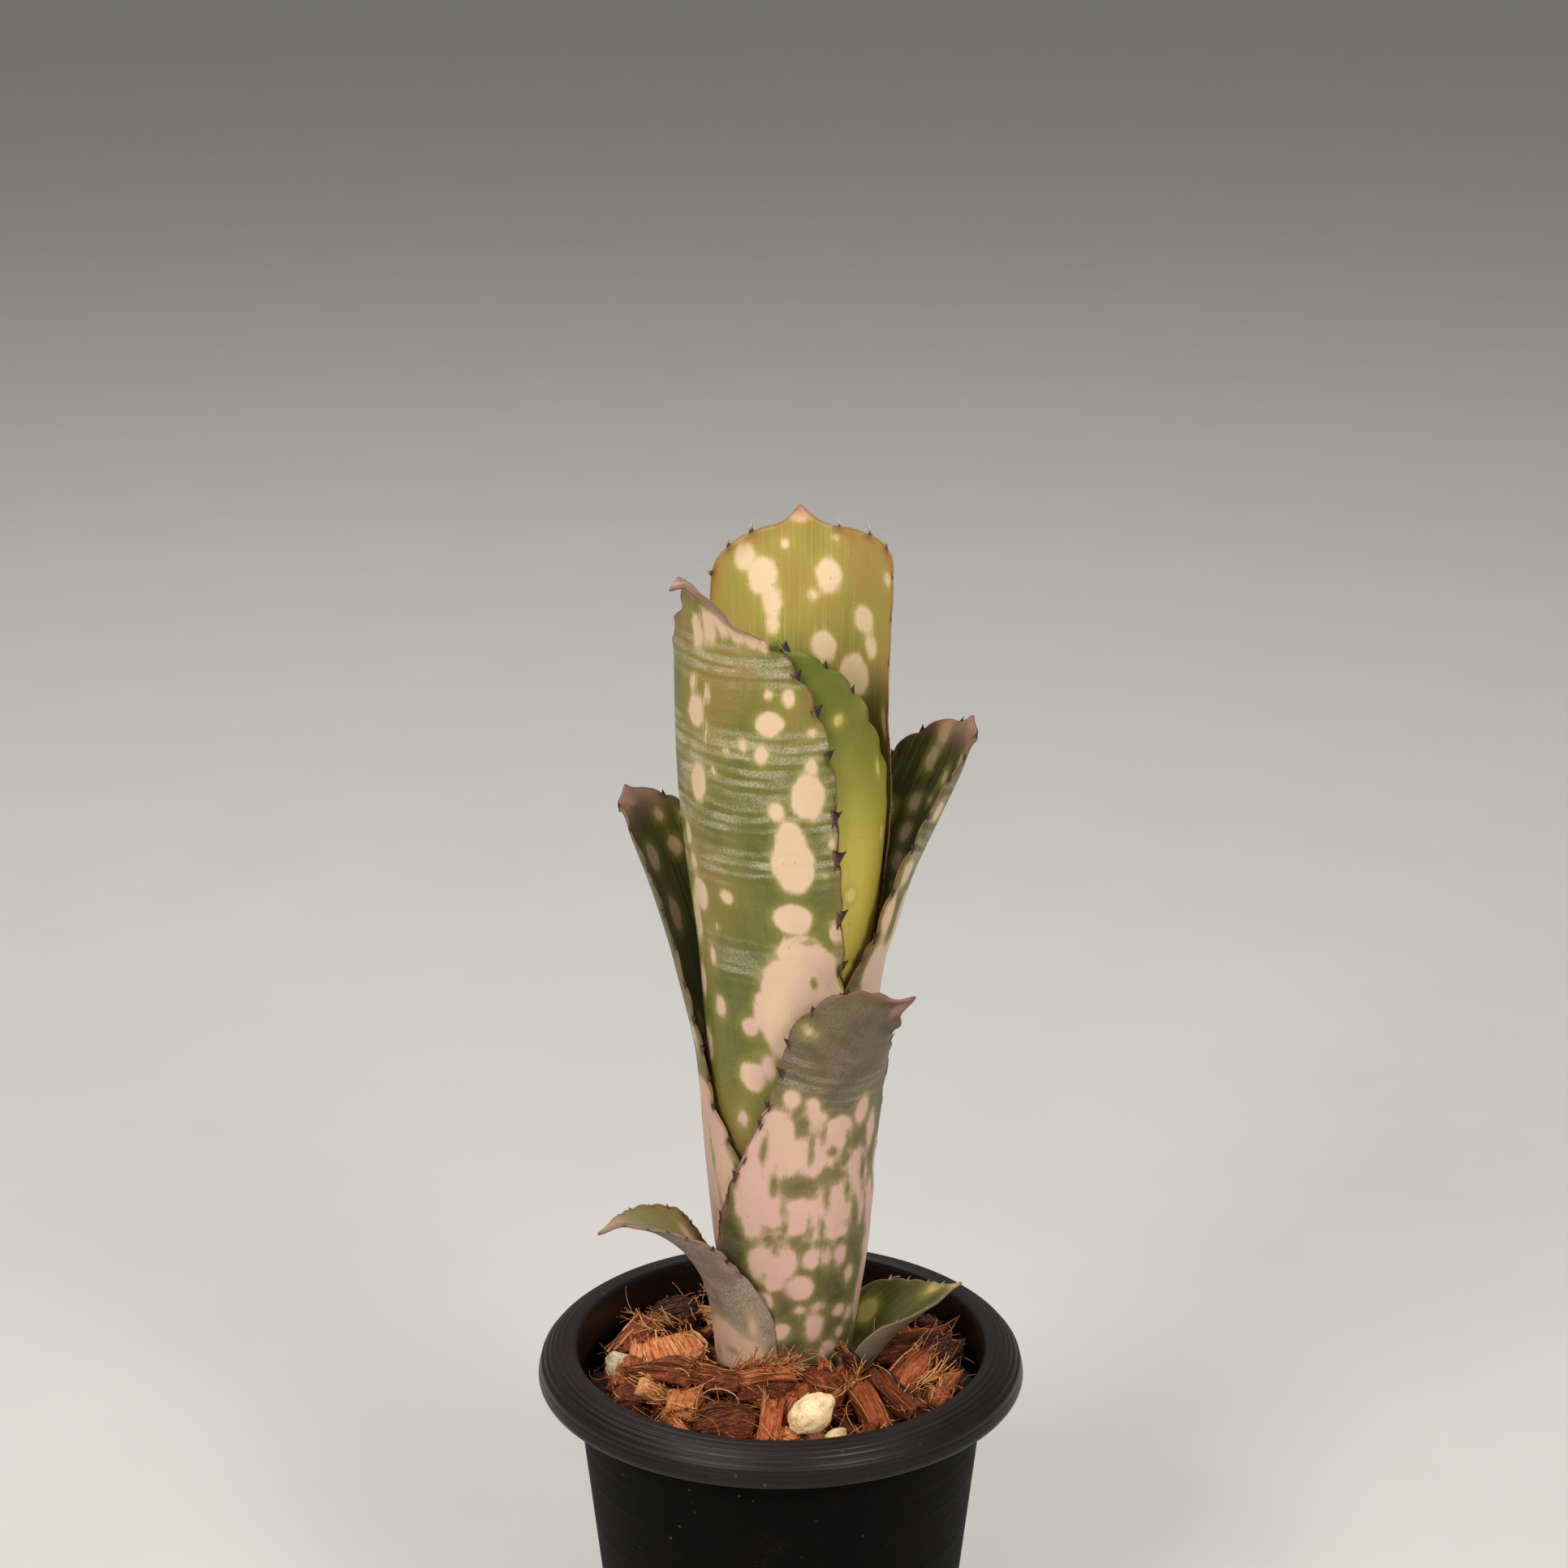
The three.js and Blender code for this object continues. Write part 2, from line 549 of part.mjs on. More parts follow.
function bedSolid() {
  const foot = BED.floor;
  const wall = potInnerRadius(BED.atWall) - CLEARANCE;
  const body = turned([
    [0, foot],
    [potInnerRadius(foot) - CLEARANCE, foot],
    [wall, BED.atWall],
    ...BED.rings.map((share) => [wall * share, bedHeight(wall * share)]),
    [0, BED.atPlant],
  ], POT.sides);
  const neck = POT.height - POT.neck;
  const inside = turned([
    [0, foot],
    [potInnerRadius(foot) - CLEARANCE, foot],
    [potInnerRadius(neck) - CLEARANCE, neck],
    [POT.mouthRadius - CLEARANCE, POT.height - BED.lip],
    [POT.mouthRadius - CLEARANCE, POT.height + BED.headroom],
    [0, POT.height + BED.headroom],
  ], POT.sides);
  const low = LEAVES.filter((leaf) => leaf.layer >= LOW_LAYER).map((leaf) => (
    bladeSolid(bladeGrid(leaf, growMidrib(leaf), LEAF_ROOM)).translate(PLANT.toArray())
  ));
  const room = joined([plantHole(), ...low, ...STONES.map((stone) => stoneSolid(stone, CLEARANCE))]);
  const bed = joined([body, ...chipSolids()]).intersect(inside).subtract(room);
  return bed.decompose().reduce((largest, next) => (next.volume() > largest.volume() ? next : largest));
}

const pieces = [
  meshOf('pot', potSolid(), COLOURS.pot, ROUGHNESS.pot),
  meshOf('husk_bed', bedSolid(), COLOURS.husk, ROUGHNESS.husk),
  ...STONES.map((stone) => meshOf(stone.name, stoneSolid(stone), stone.colour, ROUGHNESS.stone)),
  meshOf('stem', stemSolid(), COLOURS.stem, ROUGHNESS.stem),
  ...LEAVES.map((leaf) => meshOf(leaf.name, leafSolid(leaf), leaf.colour, ROUGHNESS.leaf)),
];

const plant = new THREE.Group();
plant.add(...pieces);

export default plant;
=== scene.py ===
# The looks of a young tube-forming bromeliad in a black nursery pot.
#
# Each leaf repeats its solid's formulas on a fine grid, with its markings worked out in millimetres across
# and along the blade. The pot, the stones and the bed of husk chips are finer versions of their solids.
# Working lengths are millimetres, and each mesh is written in metres in the row's frame.
import itertools
import math

import bmesh
import bpy
import numpy as np
from mathutils.kdtree import KDTree
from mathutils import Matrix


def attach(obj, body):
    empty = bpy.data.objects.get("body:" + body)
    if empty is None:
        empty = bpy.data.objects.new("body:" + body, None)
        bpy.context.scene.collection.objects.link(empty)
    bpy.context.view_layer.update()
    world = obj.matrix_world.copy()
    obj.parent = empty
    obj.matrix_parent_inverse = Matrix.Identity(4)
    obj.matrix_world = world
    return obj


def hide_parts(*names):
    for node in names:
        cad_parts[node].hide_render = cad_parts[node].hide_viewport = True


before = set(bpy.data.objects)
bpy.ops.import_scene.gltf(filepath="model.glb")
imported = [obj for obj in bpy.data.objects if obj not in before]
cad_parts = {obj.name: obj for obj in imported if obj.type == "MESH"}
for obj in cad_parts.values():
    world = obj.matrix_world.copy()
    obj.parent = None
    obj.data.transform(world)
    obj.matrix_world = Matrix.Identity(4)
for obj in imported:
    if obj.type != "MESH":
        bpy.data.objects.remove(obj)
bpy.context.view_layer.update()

MM = 0.001
UP = np.array([0.0, 0.0, 1.0])

# The pot and its bed, as in the solids.
POT = {
    "height": 108, "mouth": 50.3, "foot": 40, "taper": 0.11, "wall": 1.2,
    "floor_low": 2, "floor_high": 3.8, "foot_ring": 3, "neck": 4, "sides": 192,
}
RIM_SECTION = [  # outwards from the mouth and down from the crest
    (2.4, 2.3), (4.8, 3), (6.5, 5), (8, 7), (8.3, 8.2), (9.4, 8.2), (9.7, 6.8),
    (8.8, 4.1), (6.9, 1.9), (4.3, 0.5), (1.6, 0), (0.5, 0.35), (0, 1.2),
]
# Fine rings on the rim's upper side: out from the mouth and height.
RIM_BEADS = [(2.6, 0.1), (4.0, 0.16), (5.3, 0.2), (6.5, 0.24), (7.6, 0.28), (8.7, 0.3)]
BEAD_WIDTH = 0.36
BEADS_ABOVE = POT["height"] - 6.5
DRAIN = {"count": 5, "radius": 3.5, "circle": 25, "depth": 6}
CLEARANCE = 0.35
BED = {"at_plant": 101, "at_wall": 97.5, "floor": POT["floor_high"] + CLEARANCE, "sunk": 5.0}

# The plant's own frame: its axis on the bed, with heights counted from the bed.
PLANT = np.array([2.6, 3.0, 101.5])
TUBE = {
    "layer": 1.3,  # from each leaf to the next outer one
    "foot": -2, "foot_lower": 1.5, "station_every": 20,  # each outer leaf starts a little lower
    "radius": [
        (-14, 6.4), (0, 7.4), (38, 11.8), (60, 14), (98, 16.8), (125, 19.9), (150, 22.2), (215, 22.7),
    ],
    "axis": [(-20, 0), (0, 0), (45, 1.2), (100, 0.2), (163, -1.5), (215, -1.5)],
    # How much further left its left and right sides lie, which makes it a little oval.
    "left": [
        (-20, 1.2), (5, 1.3), (20, 2), (34, 2.8), (61, 2.5), (75, 2.2), (90, 1.9), (100, 1.4), (110, 0.8),
        (130, 0.3), (145, 0),
    ],
    "right": [
        (30, 0), (50, 0.6), (70, 1.0), (88, 1.0), (100, 0.4), (112, -0.4), (125, -0.9), (150, -1.0),
        (165, 0),
    ],
    "side_from": 6, "side_over": 12,  # from where outwards a side counts, and over what width
}
BLADE = {"middle": 0.8, "edge": 0.42, "bead": 0.2, "widest_wrap": 2.55, "settle": 20}
GRID = {"columns": 84, "rows_per_mm": 0.95, "crowding": 0.75}
SPINE = {"length": 2.8, "base": 4.6, "thickness": 0.8, "hook": 1.3, "root": 0.5, "rings": 6, "sides": 6}
HAIR = {"length": 3.7, "base": 1.8, "thickness": 0.42, "hook": 1.6, "root": 0.5, "rings": 7, "sides": 5}
SPINE_TAPER = {"power": 1.35, "tip": 0.05, "hook_power": 1.6}
# Gaps between spines, as shares of a leaf's own gap: below the lowest, between others, below given ones.
SPINE_GAPS = {"first": (0.1, 0.9), "next": (0.72, 1.3), "below_shown": 0.7}
NOTCH = {"depth": 0.8, "reach": 1.9, "fade": 5.0, "bulge": 0.3}
RIPPLE = {"height": 0.3, "per_mm": 0.55}
THORN_REACH = 1.8  # how far onto the blade a spine's dark foot reaches
CLASP = {"width": 6, "above": 14, "fade": 12}

# Each leaf. "clasp" is how far its margins press in on the leaf beneath, in the tube. Spots and patches are
# (across, along, half-width, half-height) on the blade, and patches are green again within the spots. "wild"
# spots are drawn at random for the stretches that are hidden from the front: how many, from and to along the
# blade, and their largest size. "spine_size" scales SPINE, or HAIR where the spines end in a long pale hair.
# What a leaf doesn't give is as in LEAF.
LEAF = {
    "lopsided": 0, "open": 1, "squarer_left": 0, "notched": 1, "spines_left": [], "spines_right": [],
    "patches": [], "wild": [], "spine_size": 1.0, "hairy": False, "clasp": 0,
}
LEAVES = {
    "leaf_inner_young": {
        "azimuth": -4, "layer": 0, "leave": 178, "beyond": [(22.4, 0, 192)],
        "half_width": [(0, 14), (0.3, 22), (0.6, 33), (0.74, 38), (0.87, 32.5), (1, 31)],
        "half_width_left": [(0, 14), (0.3, 22), (0.6, 27), (0.75, 31), (1, 31)], "shoulder": 45,
        "power": 1.75, "point": 2, "point_share": 0.12, "spines_from": 75, "spine_gap": 9.5, "seed": 3,
        "slot": "leaf_young", "spines_right": [193, 188, 180.5, 173, 164],
        "spots": [(14, 175, 1.2, 1.4), (27, 160, 1, 2.2), (28, 143, 1, 2.6), (15.8, 131, 1.2, 1.8)],
        "wild": [(14, 5, 125, 3.0), (10, 5, 60, 5)],
    },
    "leaf_back_tall": {
        "azimuth": 172, "layer": 1, "leave": 170, "beyond": [(24.1, 0, 190), (24.6, 0, 212)],
        "half_width": [(0, 16), (0.2, 22), (0.5, 27), (0.8, 28.5), (1, 28)], "lopsided": -0.2, "open": 1.06,
        "shoulder": 12, "power": 2.5, "squarer_left": 0.25, "notched": 0.2, "point": 4.5,
        "point_share": 0.25, "spines_from": 70, "spine_gap": 8.5, "hairy": True, "seed": 5,
        "slot": "leaf_blotched",
        "spots": [
            (13.2, 204, 2.7, 3.3), (8.8, 199, 3.6, 4.6), (6.4, 192.5, 2.2, 3.6), (-7.4, 199.6, 3.4, 4.2),
            (-3.4, 194.5, 1.2, 1.4), (-18.2, 190.7, 3.4, 3.2), (-6.3, 182, 3.2, 3.8),
            (-21, 184.6, 2.2, 2.8), (-15.4, 176.6, 4.6, 5), (3.4, 206.6, 1, 1.1), (-9, 209, 0.9, 0.9),
            (-29.4, 202.5, 2.8, 1.6), (0, 213.6, 2.6, 1.7), (6.2, 187, 1.4, 2.6), (-29, 168, 2, 3.4),
        ],
        "wild": [(34, 60, 168, 3.2), (30, 0, 75, 5.5)],
    },
    "leaf_front_left": {
        "azimuth": -42, "layer": 2, "leave": 188,
        "beyond": [(26.4, 0, 196), (29.5, 0, 203.5), (34, 0, 208), (38.5, 0, 207.5)],
        "half_width": [(0, 17), (0.3, 24), (0.5, 27.3), (0.7, 29.6), (1, 29.6)], "shoulder": 46,
        "power": 1.95, "point": 16, "point_share": 0.34, "spines_from": 60, "spine_gap": 10.5,
        "spine_size": 1.2, "seed": 8, "slot": "leaf_blotched",
        "spines_right": [197.6, 190.2, 181.3, 169.6, 155.3, 144.8, 129.6, 115.8],
        "spots": [
            (-3.2, 198, 1.7, 4.6), (0.9, 200.6, 1.7, 5), (4.7, 201.8, 1.5, 3.4), (8.2, 200.6, 1.9, 3.6),
            (11.6, 198.8, 1.9, 2.2), (14.6, 197.4, 1.2, 1.3), (3, 204, 3.4, 0.9), (8.6, 202.8, 2.8, 0.8),
            (-5.3, 186.3, 1.3, 1.7), (-0.5, 184.2, 1, 2), (-4.6, 179.2, 2.9, 3.8), (15, 185.8, 0.9, 1.2),
            (19.3, 185, 1.6, 2.1), (15, 178.8, 3.3, 3), (24.3, 176.5, 1.2, 1.2), (-1, 174.5, 0.9, 1.6),
            (4.4, 171.4, 1, 1.1), (8.8, 173.4, 1.2, 1.6), (13.1, 171.4, 1.7, 2.5), (-4.2, 162, 2.7, 5.1),
            (1, 166, 0.8, 0.9), (24.3, 168.6, 1.7, 1.9), (23.3, 161, 3.9, 5.6), (16, 157.7, 1.8, 2.3),
            (27.9, 149, 0.9, 1.4), (18.8, 144.6, 4.9, 7.4), (18.6, 151, 3, 4.4), (-10.5, 147, 1.5, 3),
            (-9, 140.5, 1.4, 2.4), (-7.2, 133, 3, 4.2), (-11, 125.5, 2.4, 7), (1.9, 134.6, 1.8, 1.7),
            (25.7, 141, 0.6, 0.6), (17.2, 130.6, 4.6, 4), (26.8, 126, 1.6, 3), (18, 121.5, 5.6, 4.6),
            (20.5, 116, 6, 6.4), (14.2, 113, 6.2, 7.2), (11.2, 105.4, 5.6, 7.6), (21.5, 108.5, 5.4, 6.4),
            (16, 101, 5, 6), (10.4, 97.6, 2, 3.4), (-3.1, 104.8, 1.7, 2.8), (-9.4, 92.4, 2.2, 4.6),
            (4.4, 101.2, 1.8, 2.4), (3.9, 88, 2.7, 3.8), (7.6, 91, 1.6, 3), (-4.6, 117.8, 1.2, 2.4),
            (-11, 109, 2, 4.6), (0.8, 76, 1, 2), (-14, 80, 2, 6), (-2, 126, 0.8, 0.9),
        ],
        "patches": [(20.2, 113.4, 0.9, 1.6), (20.8, 124.4, 2.4, 0.5)], "wild": [(18, 0, 55, 4.5)],
    },
    "leaf_right": {
        "azimuth": 108, "layer": 3, "leave": 106,
        "beyond": [(24.2, 0, 115), (28.1, 0, 127), (35.1, 0, 141), (41.5, 0, 153), (45.5, 0, 163)],
        "half_width": [(0, 18), (0.3, 25), (0.6, 28), (0.72, 22), (1, 18)], "shoulder": 20, "power": 1.9,
        "point": 1.6, "point_share": 0.18, "spines_from": 55, "spine_gap": 9, "spine_size": 0.75,
        "clasp": 0.35, "seed": 13, "slot": "leaf_blotched",
        "spots": [
            (7.4, 167.5, 1.8, 3), (8.2, 160.5, 1.5, 3.2), (6.9, 149.3, 1.6, 2.5), (5.4, 141.7, 1.7, 2.3),
            (3.8, 134.7, 1.8, 2.4), (2.3, 151.9, 0.8, 0.9), (-15.6, 152.5, 1.8, 2.8), (-17, 137, 1.8, 3),
            (-12, 129, 1.7, 3.4), (-19.3, 127, 1.8, 4.6), (-18.6, 113, 3.8, 8), (-15.6, 101, 3.8, 8),
            (-22, 90, 3, 7), (-13, 112, 3.2, 9), (-12, 124, 2.2, 6),
        ],
        "wild": [(20, 85, 165, 2.2), (34, 0, 100, 5)],
    },
    "leaf_left": {
        "azimuth": -116, "layer": 4, "leave": 76,
        "beyond": [(22, 0, 87), (26.5, 0, 102), (33, 0, 121), (38.6, 0, 134.6), (41.9, 0, 144.2)],
        "half_width": [(0, 19), (0.25, 23), (0.42, 26), (0.55, 19), (1, 16)], "shoulder": 16, "power": 1.9,
        "point": 1.6, "point_share": 0.25, "spines_from": 50, "spine_gap": 9, "spine_size": 0.75,
        "clasp": 0.35, "seed": 17, "slot": "leaf_blotched",
        "spots": [
            (1.3, 154, 2.6, 2.6), (-6.3, 146.8, 1.3, 1.8), (1.7, 138, 2.4, 3.6), (-7.5, 137.8, 1.9, 2.3),
            (0.5, 123, 2, 4.4), (8.4, 128, 1, 3), (14.6, 96, 1.2, 3), (9, 112, 1.4, 3), (15, 81, 4.4, 5.6),
            (16, 71, 5, 7), (16.4, 61, 5, 7), (15.6, 50, 5, 7), (14, 39, 4.6, 7), (11.6, 27, 4.4, 8),
            (19, 46, 3.2, 5), (8, 60, 4, 8), (8, 44, 4, 6), (7, 75, 3, 7), (20.6, 76, 2.6, 6),
            (21.6, 65, 2.8, 7), (21.4, 54, 2.8, 7), (20, 42, 2.8, 6),
        ],
        "patches": [(17.6, 69, 0.45, 3.2), (18.4, 58, 0.4, 3)],
        "wild": [(24, 85, 150, 2.2), (30, 0, 95, 5)],
    },
    "leaf_front_right": {
        "azimuth": 24, "layer": 5, "leave": 62, "beyond": [(25, 2, 84), (29.5, 6.4, 99), (34, 15, 108)],
        "half_width": [(0, 19), (0.35, 20.5), (0.6, 20.6), (0.75, 20), (0.84, 17.2), (0.92, 14), (1, 13)],
        "half_width_left": [
            (0, 22), (0.33, 28), (0.42, 27), (0.5, 24), (0.6, 20), (0.75, 17), (0.84, 20.6), (1, 22),
        ],
        "shoulder": 46, "power": 2.1, "point": 4, "point_share": 0.2, "spines_from": 44, "spine_gap": 7.6,
        "spine_size": 0.85, "clasp": 0.4, "seed": 22, "slot": "leaf_pale",
        "spines_left": [118, 114, 108.5, 101, 93, 85, 78.5, 71],
        "spots": [
            (-12.5, 105, 1.6, 1), (-11.7, 88.5, 2, 2.4), (-7, 88, 1.6, 1.6), (-14, 79.5, 4.4, 5.6),
            (-5.8, 84, 3, 2.6), (0.7, 80.3, 4.4, 4.6), (7.7, 85, 2.2, 4.2), (-3.8, 76.4, 4.2, 5.4),
            (-10.5, 75, 4, 6), (-14, 71, 4.2, 6), (-5, 71, 3, 3), (0.5, 74, 3, 4), (4.6, 72, 2.4, 3),
            (8.6, 65, 3.8, 8.6), (-16.8, 66, 2.2, 3), (4.4, 60.5, 4, 6), (12.6, 78, 1.8, 5),
            (0.4, 64.2, 4, 1.8), (-14, 59.4, 3.6, 5.4), (-7.4, 57.6, 4.6, 5), (-0.7, 58.2, 4.6, 5.4),
            (8.8, 57, 1.8, 5), (-18, 55, 2.2, 5), (-11.4, 44.4, 4.4, 4.6), (-10, 51.6, 3.6, 2),
            (-1.5, 52, 3.4, 2.2), (3.4, 52, 1.7, 2.6), (-4.1, 45.6, 2.2, 2.8), (-0.4, 46, 0.9, 2.4),
            (3.4, 45.4, 1.7, 2.8), (14.2, 41, 3, 8), (12.6, 29, 2.6, 7), (-6, 37.4, 3.2, 3.4),
            (-12, 38.4, 2.6, 2.2), (-14.4, 32.6, 2.6, 2.6), (-1.8, 26, 2.2, 4), (-1.4, 31.6, 1.6, 1.2),
            (4.6, 29, 1.8, 1.8), (-9.4, 25, 2, 2.4), (2.3, 18.6, 2.2, 2.4), (6.6, 39, 1.3, 2.2),
            (-5.6, 31, 1.1, 1.2), (8, 27, 1.2, 2), (5.4, 22.6, 1.2, 1.4), (-16, 44, 2.4, 5),
            (-18, 83, 1.4, 4), (14, 56, 2, 7), (-18.5, 69, 3, 8), (-19.6, 60, 2.6, 5), (18, 66, 2, 8),
            (17, 50, 2.4, 8), (-12.6, 20, 2.4, 3), (-5, 14, 2.2, 2.4), (8, 13, 2, 3),
        ],
        "patches": [
            (-8.4, 81.6, 1.9, 3.2), (-3, 80, 0.8, 2), (-0.4, 74.8, 1.4, 1.6), (1.6, 69.8, 1.2, 3.2),
            (-7.4, 65.6, 5, 2.6), (-0.6, 66, 3, 0.7), (7.4, 54.5, 1.4, 6), (-8, 50.2, 1.6, 2.2),
            (-1.7, 49.4, 3, 0.9), (2.8, 49.4, 2.2, 0.9), (-14.6, 50.8, 1.6, 1.2), (1.6, 40.6, 2.2, 2.2),
            (3.4, 34.8, 2.4, 1.8), (10.4, 67, 0.9, 5), (9.8, 41, 1.8, 7), (-12.8, 48.6, 0.8, 2),
            (6.4, 76.5, 1.5, 3.2), (3.8, 72, 1.2, 2.6), (-10.8, 54, 0.7, 3), (-5, 54, 0.7, 2.6),
            (-2, 53.6, 0.7, 3), (-13.6, 66, 0.8, 3), (-16.4, 74, 0.8, 3.4), (5, 63, 0.9, 3),
            (-0.7, 62.4, 0.7, 2.4), (-11, 64, 0.6, 3.6), (-5.5, 76, 0.7, 4), (4, 76.6, 0.7, 3),
            (11.4, 52, 0.6, 6),
        ],
    },
    "leaf_low_right": {
        "azimuth": 92, "layer": 6, "leave": -10,
        "beyond": [
            (17.5, 0, -3), (21.6, 0, 3), (25.5, 0, 8.2), (31.5, 0, 13.6), (37, 0, 17.8), (41.3, 0, 20),
        ],
        "half_width": [(0, 13), (0.4, 16.5), (0.7, 16.5), (1, 11)], "shoulder": 22, "power": 1.35,
        "point": 2, "point_share": 0.15, "spines_from": 24, "spine_gap": 5.5, "spine_size": 0.45,
        "hairy": True, "clasp": 0.35, "seed": 26, "slot": "leaf_pale",
        "spots": [
            (11.4, 18.6, 2.2, 3), (3.4, 36.6, 1.6, 3.4), (0, 41.4, 1.6, 2), (-5, 22, 1.4, 2.4),
            (4, 12, 2, 3),
        ],
    },
    "leaf_low_left": {
        "azimuth": -68, "layer": 7, "leave": 12,
        "beyond": [
            (19.4, 0, 21), (22, 0, 28), (26.7, 0, 35.1), (34.4, 0, 41.6), (42, 0, 44.6), (48.4, 0, 42.8),
        ],
        "half_width": [(0, 16), (0.4, 16.5), (0.55, 14), (0.75, 13.4), (1, 10)], "open": 0.8,
        "shoulder": 24, "power": 1.35, "point": 3, "point_share": 0.15, "spines_from": 40, "spine_gap": 5.2,
        "spine_size": 0.5, "clasp": 1.7, "seed": 30, "slot": "leaf_pale",
        "spots": [
            (-9.6, 45, 1.4, 3), (3.6, 23, 6, 6), (10, 21, 4.4, 5), (4.4, 16.7, 3.4, 3), (-5, 20, 5, 7),
            (-11, 24, 2.4, 4), (12, 29, 1, 3), (-3, 50, 0.8, 1.4), (0, 19, 6, 4), (7, 17, 4, 4),
            (-9, 15, 4, 4),
        ],
        "patches": [(6, 20.6, 1.2, 0.8), (0, 18, 0.8, 1.2)],
    },
}
# Clusters of silver scurf stripes on the outer face: middle along the blade, half-height and strength.
SCURF = {
    "leaf_front_left": [(193, 6, 0.75), (168, 8, 1.0), (154, 4, 0.85), (142.5, 4.6, 0.95), (118, 6, 0.5)],
    "leaf_front_right": [(104, 6, 0.6), (93, 7, 1.0), (70, 6, 0.4), (47, 8, 0.5)],
}
SPOT_NECK = 0.5  # how far neighbouring spots run into each other
DEEPEST = 8  # where the depth in a spot stops counting

# Rolled stretches of the top edge: how far in they reach, how high they stand out, over which shares of the
# half-width, and between which shares they bear no spines. "lip" is the strip in the tip's colour: how wide
# it is, the share where it is widest and the share where it has run out.
ROLLED = {
    "leaf_front_left": {
        "reach": 5.0, "height": 2.6, "shares": (-0.12, 0.62), "bare": (0.0, 0.6), "lip": (3.6, 0.08, 0.5),
    },
    "leaf_front_right": {
        "reach": 4.0, "height": 1.9, "shares": (-0.3, 0.7), "bare": (-0.35, 0.4), "lip": (2.6, 0.08, -0.2),
    },
    "leaf_right": {
        "reach": 4.0, "height": 1.2, "shares": (-0.6, 0.6), "bare": (0.0, 0.0), "lip": (1.0, 0.0, 0.4),
    },
    "leaf_left": {
        "reach": 4.0, "height": 1.3, "shares": (-0.6, 0.6), "bare": (0.0, 0.0), "lip": (1.6, 0.0, 0.5),
    },
}
TOP_FROM = 0.6  # the share of a leaf's length where its top edge begins


def srgb(red, green, blue):
    """A colour as the eye sees it, 0 to 255, in the linear values that shaders take."""
    linear = [(c / 255 / 12.92) if c < 11 else ((c / 255 + 0.055) / 1.055) ** 2.4 for c in (red, green, blue)]
    return (*linear, 1.0)


# Each leaf's colours. "bands" is how much silver scurf its outer and inner face carry, "silver" how much
# pale streaking, a painted sheen, its inner face has, "flank" how much browner (or greener, below 0) the
# flesh gets towards the margins, "soft" how far the cream spots fade out, and "blush" from where down the
# blade cream turns pink. "inner" tints the inner face, and where it darkens it, it is painted shade. "far"
# colours a
# stretch of the blade: painted light on the young leaf, painted shade on the tall back leaf, own colour
# elsewhere.
LOOK = {
    "deep": srgb(84, 88, 27), "olive": srgb(108, 104, 38), "brown": srgb(132, 110, 48), "flank": -0.09,
    "halo": srgb(140, 136, 48), "halo_amount": 0.5, "cream": srgb(214, 186, 153), "soft": 0.6,
    "blush": srgb(210, 174, 156), "base": srgb(198, 170, 138), "base_from": 14, "base_to": -2,
    "scurf": srgb(186, 176, 150), "tip": srgb(146, 112, 98), "tip_reach": 9, "tip_amount": 0.8,
    "margin": srgb(88, 50, 34), "glow": srgb(170, 100, 52), "glow_reach": 3, "glow_amount": 0.25,
    "inner": (1.0, 1.0, 1.0, 1.0), "bands": (1.35, 0.03), "silver": 0.15, "blush_from": 150, "blush_to": 95,
    "through": 0.3, "glow_top": 1000, "far": srgb(104, 102, 38), "far_from": 0, "far_to": 0.1,
    "far_amount": 0.0, "dusting": 0.1,
}
